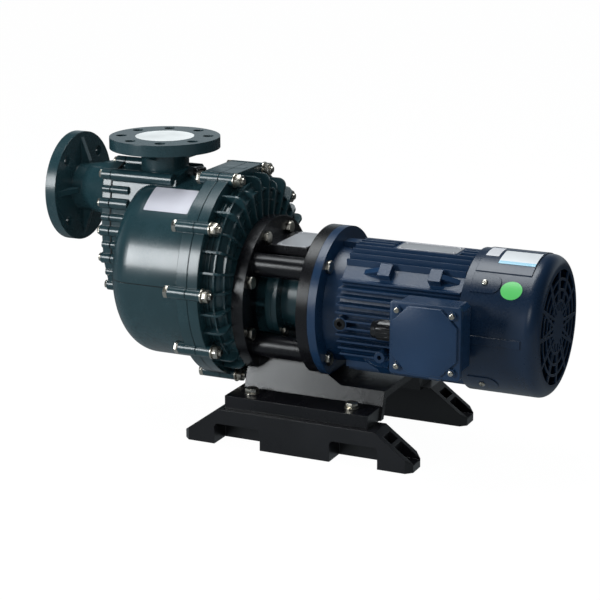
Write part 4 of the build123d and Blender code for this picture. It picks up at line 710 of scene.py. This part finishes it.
class PUMP_OT_casing_fasteners(Operator):
    """Make the bolts, washers and nuts round the casing and the screws of the suction cover"""

    bl_idname = "pump.casing_fasteners"
    bl_label = "Casing fasteners"

    def execute(self, context):
        sizes = context.scene.pump_sizes
        ring = (CASING_BOLTS, CASING_CIRCLE, 0.0)
        nut_seat = COVER_SEAT_X + WASHER_T
        places = circle_places(*ring, COVER_SEAT_X, (1, 0, 0), CASING_Z)
        fasten(flat_washer(), places, "casing_washer_set", "casing_washers")
        bolt = bolt_with_shank(sizes.large_flats, HEX_L, M12_R, 0.066)
        heads = copies(bolt, circle_places(*ring, BODY_SEAT_X, (-1, 0, 0), CASING_Z), "heads")
        end = thread(M12_R, -0.001, sizes.stud_end, sizes.pitch)
        ends = copies(end, circle_places(*ring, nut_seat + NUT_L, (1, 0, 0), CASING_Z), "ends")
        bolts = join([heads, ends], "casing_bolt_set")
        finish_piece(bolts, "stainless", replaces="casing_bolts")
        nut = soften(hexagon(sizes.large_flats, 0.0, NUT_L, True, True), 0.0002, 1)
        combine(nut, post(M12_R + 0.0001, -0.001, NUT_L + 0.001, 24), "DIFFERENCE")
        places = circle_places(*ring, nut_seat, (1, 0, 0), CASING_Z, lean=0.55)
        fasten(nut, places, "casing_nut_set", "casing_nuts")
        points = [(0.0, COVER_SCREW_TOP)]
        for rise, half in COVER_SCREW_PAIRS:
            points += [(half, rise), (-half, rise)]
        points.append((0.0, COVER_SCREW_BOTTOM))
        places = [((COVER_PLATE_X, y, SHAFT_Z + rise), (-1, 0, 0), 0.4 * i)
                  for i, (y, rise) in enumerate(points)]
        screw = bolt_with_shank(sizes.small_flats, SMALL_HEX_L, M8_R, 0.036)
        fasten(screw, places, "cover_screw_set", "suction_cover_screws")
        return {"FINISHED"}


class PUMP_OT_bracket_fasteners(Operator):
    """Make the bolts of the bracket, its feet, the seal gland and the motor flange"""

    bl_idname = "pump.bracket_fasteners"
    bl_label = "Bracket and motor fasteners"

    def execute(self, context):
        sizes = context.scene.pump_sizes
        large = (sizes.large_flats, HEX_L, M12_R)
        small = (sizes.small_flats, SMALL_HEX_L, M8_R)
        back = (1, 0, 0)
        bolt = bolt_with_shank(*large, 0.034)
        places = circle_places(BRACKET_BOLTS, BRACKET_CIRCLE, 22.5, BRACKET_SEAT_X, back)
        fasten(bolt, places, "bracket_bolt_set", "bracket_bolts")
        bolt = bolt_with_shank(*large, 0.033)
        places = circle_places(4, FLANGE_CIRCLE, 45.0, FLANGE_SEAT_X, back)
        fasten(bolt, places, "motor_flange_bolt_set", "motor_flange_bolts")
        screw = bolt_with_shank(*small, 0.019)
        places = circle_places(4, GLAND_CIRCLE, 45.0, GLAND_SEAT_X, back)
        fasten(screw, places, "gland_screw_set", "gland_screws")
        bolt = bolt_with_shank(*large, 0.044)
        places = [((x, y, FOOT_Z + WASHER_T), (0, 0, 1), 0.7 * i)
                  for i, (x, y) in enumerate(FEET)]
        fasten(bolt, places, "foot_bolt_set", "foot_bolts")
        places = [((x, y, FOOT_Z), (0, 0, 1)) for x, y in FEET]
        fasten(flat_washer(), places, "foot_washer_set", "foot_washers")
        return {"FINISHED"}


class PUMP_OT_cover_screws(Operator):
    """Make the screws of the fan cowl and the terminal box"""

    bl_idname = "pump.cover_screws"
    bl_label = "Cowl and terminal box screws"

    def execute(self, context):
        places = []
        for angle in (45, 135, 225, 315):
            way = (0, math.cos(math.radians(angle)), math.sin(math.radians(angle)))
            place = (COWL_SCREW_X, COWL_R * way[1], SHAFT_Z + COWL_R * way[2])
            places.append((place, way, 0.02 * angle))
        screw = cross_screw(0.005, 0.003, 0.0025, 0.015)
        fasten(screw, places, "cowl_screw_set", "cowl_screws")
        x, y, z = BOX_FACE
        places = [((x + dx, y, z + dz), (0, -1, 0), 9 * dx + 20 * dz)
                  for dx in (-BOX_SCREW_AT, BOX_SCREW_AT) for dz in (-BOX_SCREW_AT, BOX_SCREW_AT)]
        screw = cross_screw(0.0045, 0.003, 0.0025, 0.028)
        fasten(screw, places, "terminal_box_screw_set", "terminal_box_screws")
        return {"FINISHED"}


# Terminal cover, plugs and gland

class PUMP_OT_terminal_cover(Operator):
    """Make the terminal box cover, whose raised field leaves the four screw corners free"""

    bl_idname = "pump.terminal_cover"
    bl_label = "Terminal box cover"

    def execute(self, context):
        sizes = context.scene.pump_sizes
        depth, wall, margin = 0.014, 0.005, 0.0045
        field_side = sizes.box_cover - 2 * margin
        cover = square_plate(sizes.box_cover, 0.005, -depth, -sizes.box_field, 4)
        field = square_plate(field_side, 0.026, -sizes.box_field - 0.002, 0.0)
        cover = combine(soften(cover, 0.0012), soften(field, 0.0016, 3), "UNION")
        corners = [(x, z) for x in (-BOX_SCREW_AT, BOX_SCREW_AT)
                   for z in (-BOX_SCREW_AT, BOX_SCREW_AT)]
        bosses = (0.0065, -0.009, -0.0002, "UNION")
        holes = (0.003, -0.030, 0.01, "DIFFERENCE")
        for radius, low, high, operation in (bosses, holes):
            for x, z in corners:
                tool = copies(post(radius, low, high), [((x, z, 0), (0, 0, 1))], "tool")
                combine(cover, tool, operation)
        room = square_plate(sizes.box_cover - 0.024, 0.020, -depth - 0.01, -wall - sizes.box_field)
        combine(cover, room, "DIFFERENCE")
        cover = copies(cover, [(BOX_FACE, (0, -1, 0))], "terminal_cover_field")
        bpy.ops.object.shade_smooth_by_angle(angle=SMOOTH_ANGLE)
        finish_piece(cover, "motor_paint", replaces="terminal_box_cover")
        return {"FINISHED"}


def ribbed(piece, count, depth, span, share):
    """Press grooves between ribs into the side of a turned part."""
    focus(piece)
    bpy.ops.object.mode_set(mode="EDIT")
    step = 2 * math.pi / count

    def in_groove(place, normal):
        if abs(normal.z) > 0.5 or not span[0] < place.z < span[1]:
            return False
        return (math.atan2(place.y, place.x) % step) / step > share

    pick("FACE", in_groove)
    bpy.ops.mesh.inset(
        thickness=0.0002, depth=-depth, use_individual=False, use_boundary=True)
    bpy.ops.object.mode_set(mode="OBJECT")


class PUMP_OT_plugs(Operator):
    """Make the cable gland's cap, the priming knob, the drain plug and the plug of the frame"""

    bl_idname = "pump.plugs"
    bl_label = "Plugs and cable gland"

    def execute(self, context):
        sizes = context.scene.pump_sizes
        cap = turned(
            [(-0.012, 0.0115), (-0.0105, 0.0132), (-0.004, 0.0140), (-0.002, 0.0157),
             (0.0, 0.0163), (0.0235, 0.0163), (0.024, 0.0158)], 6 * sizes.grip_ribs)
        ribbed(cap, sizes.grip_ribs, 0.0008, (0.0, 0.0235), 0.3)
        combine(cap, post(0.007, -0.013, 0.025, 32), "DIFFERENCE")
        cap = copies(soften(cap, 0.0003, 1), [(GLAND_CAP, (1, 0, 0))], "gland_cap_grip")
        finish_piece(cap, "black_plastic", replaces="cable_gland_cap")
        knob = turned(
            [(-0.014, 0.008), (0.0, 0.008), (0.0, 0.0108), (0.003, 0.0110), (0.0105, 0.0110),
             (0.012, 0.0098), (0.012, 0.006), (0.0108, 0.0055)], 6 * sizes.knob_ribs)
        ribbed(knob, sizes.knob_ribs, 0.0014, (0.003, 0.0105), 0.5)
        knob = copies(soften(knob, 0.0003, 2), [(PRIMING_SEAT, (0, 0, 1))], "priming_knob")
        finish_piece(knob, "black_plastic", "priming_plug", "priming_plug")
        head = soften(hexagon(0.022, 0.0015, 0.011), 0.0003, 2)
        collar = soften(turned([(0.0, 0.0124), (0.002, 0.0124)], 48), 0.0003, 1)
        shank = turned([(-0.014, 0.0074), (-0.013, 0.008), (0.0001, 0.008)], 32)
        drain = join([head, collar, shank], "plug")
        drain = copies(drain, [(DRAIN_SEAT, (-1, 0, 0))], "drain_plug_hexagon")
        finish_piece(drain, "black_plastic", "drain_plug", "drain_plug")
        plug = turned(
            [(-0.012, 0.008), (0.0, 0.008), (0.0, 0.0095), (0.0008, 0.0095), (0.0010, 0.0090)], 48)
        socket = hexagon(0.008, -0.006, 0.003, False, False)
        plug = soften(combine(plug, socket, "DIFFERENCE"), 0.0002, 1)
        plug = copies(plug, [(FRAME_PLUG, (0, -1, 0))], "frame_plug_socket")
        finish_piece(plug, "black_plastic", replaces="frame_plug")
        return {"FINISHED"}


# Labels and plates

def wrapped_label(name, axis_z, radius, span_x, span_angle):
    """A label wrapped on a cylinder along X, made by spinning an edge; it has no thickness yet."""
    new_start()
    bpy.ops.mesh.primitive_grid_add(x_subdivisions=8, y_subdivisions=1, size=1.0)
    piece = bpy.context.active_object
    half = 0.0005
    piece.scale = (span_x[1] - span_x[0], 2 * half, 1)
    piece.location = ((span_x[0] + span_x[1]) / 2, half, 0)
    settle(name)
    bpy.ops.object.mode_set(mode="EDIT")
    pick("VERT", lambda place, way: place.y > half)
    bpy.ops.mesh.delete(type="VERT")
    bpy.ops.mesh.select_all(action="SELECT")
    start = math.radians(span_angle[0])
    arc = math.radians(span_angle[1] - span_angle[0])
    bpy.ops.transform.translate(
        value=(0, radius * math.cos(start), axis_z + radius * math.sin(start)))
    bpy.ops.mesh.spin(steps=20, angle=-arc, center=(0, 0, axis_z), axis=(1, 0, 0))
    bpy.ops.mesh.select_all(action="SELECT")
    bpy.ops.mesh.remove_doubles(threshold=0.00001)
    bpy.ops.object.mode_set(mode="OBJECT")
    return piece


def round_label(name, x, angle, radius, wrap_radius):
    """A round label wrapped on the cowl by projecting a disc onto a cylinder."""
    new_start()
    turn = math.radians(angle)
    way = Vector((0, math.cos(turn), math.sin(turn)))
    place = Vector((x, 0, SHAFT_Z)) + way * (wrap_radius + 0.01)
    bpy.ops.mesh.primitive_circle_add(
        vertices=48, radius=radius, fill_type="NGON", location=place,
        rotation=way.to_track_quat("Z", "X").to_euler())
    piece = settle(name)
    edit_all()
    rings = 6
    for _ in range(rings):
        bpy.ops.mesh.inset(thickness=radius / (rings + 1), depth=0)
    bpy.ops.mesh.poke()
    bpy.ops.object.mode_set(mode="OBJECT")
    new_start()
    bpy.ops.mesh.primitive_cylinder_add(
        vertices=512, radius=wrap_radius, depth=0.2, location=(x, 0, SHAFT_Z),
        rotation=(0, math.pi / 2, 0))
    form = settle()
    apply_modifier(piece, "SHRINKWRAP", target=form, wrap_method="NEAREST_SURFACEPOINT")
    bpy.data.objects.remove(form, do_unlink=True)
    return piece


def sheet_corners(piece):
    """The four corner places of a spun sheet."""
    count = {}
    mesh = piece.data
    for face in mesh.polygons:
        for index in face.vertices:
            count[index] = count.get(index, 0) + 1
    return [mesh.vertices[i].co.copy() for i, used in count.items() if used == 1]


def coat_sheet(piece, axis_z, thickness, corner=0.0):
    """Point a sheet outwards from an axis along X, round its corners and make it solid."""
    focus(piece)
    edit_all()
    bpy.ops.mesh.normals_make_consistent(inside=False)
    if corner:
        corners = sheet_corners(piece)
        pick("VERT", lambda place, way: any((place - c).length < 0.0001 for c in corners))
        bpy.ops.mesh.bevel(offset=corner, segments=4, affect="VERTICES")
    bpy.ops.object.mode_set(mode="OBJECT")
    middle = piece.data.polygons[len(piece.data.polygons) // 2]
    outward = Vector((0, middle.center.y, middle.center.z - axis_z))
    if middle.normal.dot(outward) < 0:
        edit_all()
        bpy.ops.mesh.flip_normals()
        bpy.ops.object.mode_set(mode="OBJECT")
    apply_modifier(piece, "SOLIDIFY", thickness=thickness, offset=1.0)
    bpy.ops.object.shade_smooth_by_angle(angle=SMOOTH_ANGLE)
    return piece


def blank_plate(name, span_x, half_width, bottom, thickness=0.001):
    """A blank metal plate with rounded corners, a raised rim and a rivet at each corner."""
    new_start()
    length = span_x[1] - span_x[0]
    centre_x = (span_x[0] + span_x[1]) / 2
    bpy.ops.mesh.primitive_plane_add(size=1.0, location=(centre_x, 0, bottom))
    piece = bpy.context.active_object
    piece.scale = (length, 2 * half_width, 1)
    settle(name)
    edit_all()
    bpy.ops.mesh.bevel(offset=0.003, segments=5, affect="VERTICES")
    bpy.ops.mesh.select_all(action="SELECT")
    bpy.ops.mesh.extrude_region_move(TRANSFORM_OT_translate={"value": (0, 0, thickness)})
    bpy.ops.mesh.inset(thickness=0.0012, depth=0)
    bpy.ops.mesh.inset(thickness=0.0003, depth=-0.00025)
    bpy.ops.mesh.select_all(action="SELECT")
    bpy.ops.mesh.normals_make_consistent(inside=False)
    bpy.ops.object.mode_set(mode="OBJECT")
    soften(piece, 0.00015, 1)
    rivet = turned([(0.0, 0.0022), (0.0004, 0.0022), (0.0009, 0.0016), (0.0011, 0.0008)], 24)
    inset = 0.006
    seat = bottom + thickness - 0.0004
    places = [((x, y, seat), (0, 0, 1)) for x in (span_x[0] + inset, span_x[1] - inset)
              for y in (-half_width + inset, half_width - inset)]
    return join([piece, copies(rivet, places, "rivets")], name)


class PUMP_OT_labels(Operator):
    """Lay the blank labels on the bowl and the cowl, and the plates on the bracket and the motor"""

    bl_idname = "pump.labels"
    bl_label = "Blank labels and plates"

    def execute(self, context):
        thick = context.scene.pump_sizes.label_thickness
        lilac = label_paper("label_paper", (0.60, 0.585, 0.645))
        white = label_paper("label_white", (0.74, 0.73, 0.76))
        edged = label_paper("label_blue_edge", (0.80, 0.81, 0.82), edge=True)
        green = label_paper("label_green", (0.10, 0.56, 0.13))
        bowl = (CASING_Z, 0.1532)           # axis and radius that the labels are wrapped on
        cowl = (SHAFT_Z, COWL_R + 0.0002)
        for name, (axis_z, radius), span_x, span_angle, corner, paper in (
            ("bowl_label", bowl, (-0.291, -0.210), (112.5, 132.8), 0.002, lilac),
            ("cowl_label_small", cowl, (0.272, 0.293), (86.0, 105.0), 0.001, white),
            ("cowl_label_large", cowl, (0.298, 0.357), (92.0, 114.0), 0.001, edged),
        ):
            label = wrapped_label(name, axis_z, radius, span_x, span_angle)
            coat_sheet(label, axis_z, thick, corner)
            finish_piece(label, "film_white", material=paper)
        label = round_label("cowl_label_round", 0.333, 139.0, 0.017, 0.1127)
        finish_piece(coat_sheet(label, SHAFT_Z, thick), "film_white", material=green)
        plate = blank_plate("bracket_plate", (-0.078, -0.024), 0.048, 0.3175)
        finish_piece(plate, "plate_metal", replaces="bracket_nameplate")
        plate = blank_plate("motor_top_plate", (0.1195, 0.2205), 0.021, 0.326)
        finish_piece(plate, "plate_metal", replaces="motor_plate")
        return {"FINISHED"}


# Stage

WHITE = (1, 1, 1, 1)
STUDIO_TINT = (0.84, 0.94, 1.0, 1.0)    # cool tint that everything but the camera sees
LAMP_TINT = (0.94, 0.98, 1.0)
FLOOR_WHITE = 1.025                     # just over white, so that only the shadow shows


def seen_rays(finish):
    """1 for camera rays, and 1 for glossy and transmitted rays."""
    camera = finish.node("ShaderNodeLightPath", output="Is Camera Ray")
    outputs = camera.socket.node.outputs
    mirrored = (Signal(finish, outputs["Is Glossy Ray"])
                + Signal(finish, outputs["Is Transmission Ray"]))
    return camera, mirrored


def floor_paint(shadow, gleam, dark):
    """White floor with a little shadow; reflections see it dimmer, darkest behind the pump."""
    finish = Finish("stage_floor")
    finish.set(Base_Color=(0.82, 0.82, 0.82, 1), Roughness=0.6, Specular_IOR_Level=0.2)
    camera, mirrored = seen_rays(finish)
    y = finish.axes()[1]
    level = camera * FLOOR_WHITE + mirrored * finish.spread(y, 0.0, 0.5, gleam, dark)
    glow = finish.node("ShaderNodeEmission", values={
        "Color": finish.blend(camera, STUDIO_TINT, WHITE), "Strength": level})
    mixed = finish.node("ShaderNodeMixShader", values={
        "Fac": camera * (1.0 - shadow) + mirrored,
        1: Signal(finish, finish.shader.outputs[0]), 2: glow})
    finish.feed(finish.output.inputs["Surface"], mixed)
    return finish.material


def white_world(level, studio, backdrop):
    """White for the camera; reflections see a pale backdrop behind and a dim studio in front."""
    world = bpy.data.worlds.new("stage_world")
    bpy.context.scene.world = world
    nodes = Finish("stage_world", world)
    x, y, z = nodes.axes(nodes.node("ShaderNodeTexCoord", output="Generated"))
    behind = nodes.spread(y * 0.9 - x * 0.42, -0.1, 0.5) * nodes.spread(z, 0.5, 0.1)
    camera, mirrored = seen_rays(nodes)
    reflected = nodes.spread(behind, 0.0, 1.0, studio, backdrop)
    diffuse = 1.0 - (camera + mirrored)
    ground = nodes.tree.nodes["Background"]
    nodes.feed(ground.inputs["Color"], nodes.blend(camera, STUDIO_TINT, WHITE))
    nodes.feed(ground.inputs["Strength"], camera + mirrored * reflected + diffuse * level)


def soft_light(name, place, target, size, power):
    """A large rectangular light that points at a place."""
    data = bpy.data.lights.new(name, "AREA")
    data.shape = "RECTANGLE"
    data.size, data.size_y = size
    data.energy = power
    data.color = LAMP_TINT
    lamp = bpy.data.objects.new(name, data)
    lamp.location = place
    direction = Vector(target) - Vector(place)
    lamp.rotation_euler = direction.to_track_quat("-Z", "Y").to_euler()
    bpy.context.scene.collection.objects.link(lamp)


class PUMP_OT_finishes(Operator):
    """Give every node of the frame its finish"""

    bl_idname = "pump.finishes"
    bl_label = "Finishes"

    def execute(self, context):
        colours = context.scene.pump_colours
        for slot, build in FINISHES.items():
            MATERIAL_NAMES[slot] = build(colours).name
        for entry in frame["record"]["subparts"]:
            materials = frame["nodes"][entry["node"]].data.materials
            materials.clear()
            materials.append(bpy.data.materials[MATERIAL_NAMES[entry["material_slot"]]])
        return {"FINISHED"}


class PUMP_OT_stage(Operator):
    """Add the floor, the lights, the world and the camera"""

    bl_idname = "pump.stage"
    bl_label = "Stage"

    def execute(self, context):
        stage = context.scene.pump_stage
        bpy.ops.mesh.primitive_plane_add(size=40.0, location=(0, 0, 0))
        floor = context.active_object
        floor.name = "stage_floor"
        floor.data.materials.append(
            floor_paint(stage.floor_shadow, stage.floor_gleam, stage.studio_level))
        centre = Vector(stage.target)
        bowl = (-0.26, -0.15, 0.27)
        soft_light("softbox_left", (-1.45, -2.05, 0.95), bowl, (0.60, 0.95), stage.side_power)
        soft_light("softbox_top", (-0.45, 0.2, 2.3), centre, (1.6, 1.0), stage.key_power)
        soft_light("softbox_front", (0.9, -2.6, 1.7), centre, (0.9, 0.7), stage.fill_power)
        white_world(stage.world_level, stage.studio_level, stage.backdrop_level)
        data = bpy.data.cameras.new("camera")
        data.sensor_width = 36.0
        data.lens = stage.focal
        camera = bpy.data.objects.new("camera", data)
        azimuth, elevation = stage.azimuth, stage.elevation
        back = Vector((
            math.sin(azimuth) * math.cos(elevation),
            -math.cos(azimuth) * math.cos(elevation),
            math.sin(elevation),
        ))
        camera.location = centre + back * stage.distance
        camera.rotation_euler = (math.pi / 2 - elevation, 0, azimuth)
        context.scene.collection.objects.link(camera)
        context.scene.camera = camera
        context.scene.view_settings.view_transform = "Standard"
        return {"FINISHED"}


# Panel and registration

class PUMP_PT_panel(Panel):
    """Sidebar panel with the pump's operators and settings"""

    bl_idname = "PUMP_PT_panel"
    bl_label = "Pump"
    bl_space_type = "VIEW_3D"
    bl_region_type = "UI"
    bl_category = "Pump"

    def draw(self, context):
        scene = context.scene
        for operator in OPERATORS:
            self.layout.operator(operator.bl_idname)
        for group in (scene.pump_colours, scene.pump_sizes, scene.pump_stage):
            for name in group.bl_rna.properties.keys():
                if name not in ("rna_type", "name"):
                    self.layout.prop(group, name)


OPERATORS = (
    PUMP_OT_finishes, PUMP_OT_casing_fasteners, PUMP_OT_bracket_fasteners, PUMP_OT_terminal_cover,
    PUMP_OT_cover_screws, PUMP_OT_plugs, PUMP_OT_labels, PUMP_OT_stage,
)
CLASSES = (PumpColours, PumpSizes, PumpStage) + OPERATORS + (PUMP_PT_panel,)


def register():
    """Register the classes and the scene's settings."""
    for cls in CLASSES:
        bpy.utils.register_class(cls)
    bpy.types.Scene.pump_colours = PointerProperty(type=PumpColours)
    bpy.types.Scene.pump_sizes = PointerProperty(type=PumpSizes)
    bpy.types.Scene.pump_stage = PointerProperty(type=PumpStage)


def unregister():
    """Undo register."""
    del bpy.types.Scene.pump_stage
    del bpy.types.Scene.pump_sizes
    del bpy.types.Scene.pump_colours
    for cls in reversed(CLASSES):
        bpy.utils.unregister_class(cls)


def main():
    """Build the pump's looks and its stage."""
    register()
    for operator in OPERATORS:
        group, name = operator.bl_idname.split(".")
        getattr(getattr(bpy.ops, group), name)()


if __name__ == "__main__":
    main()
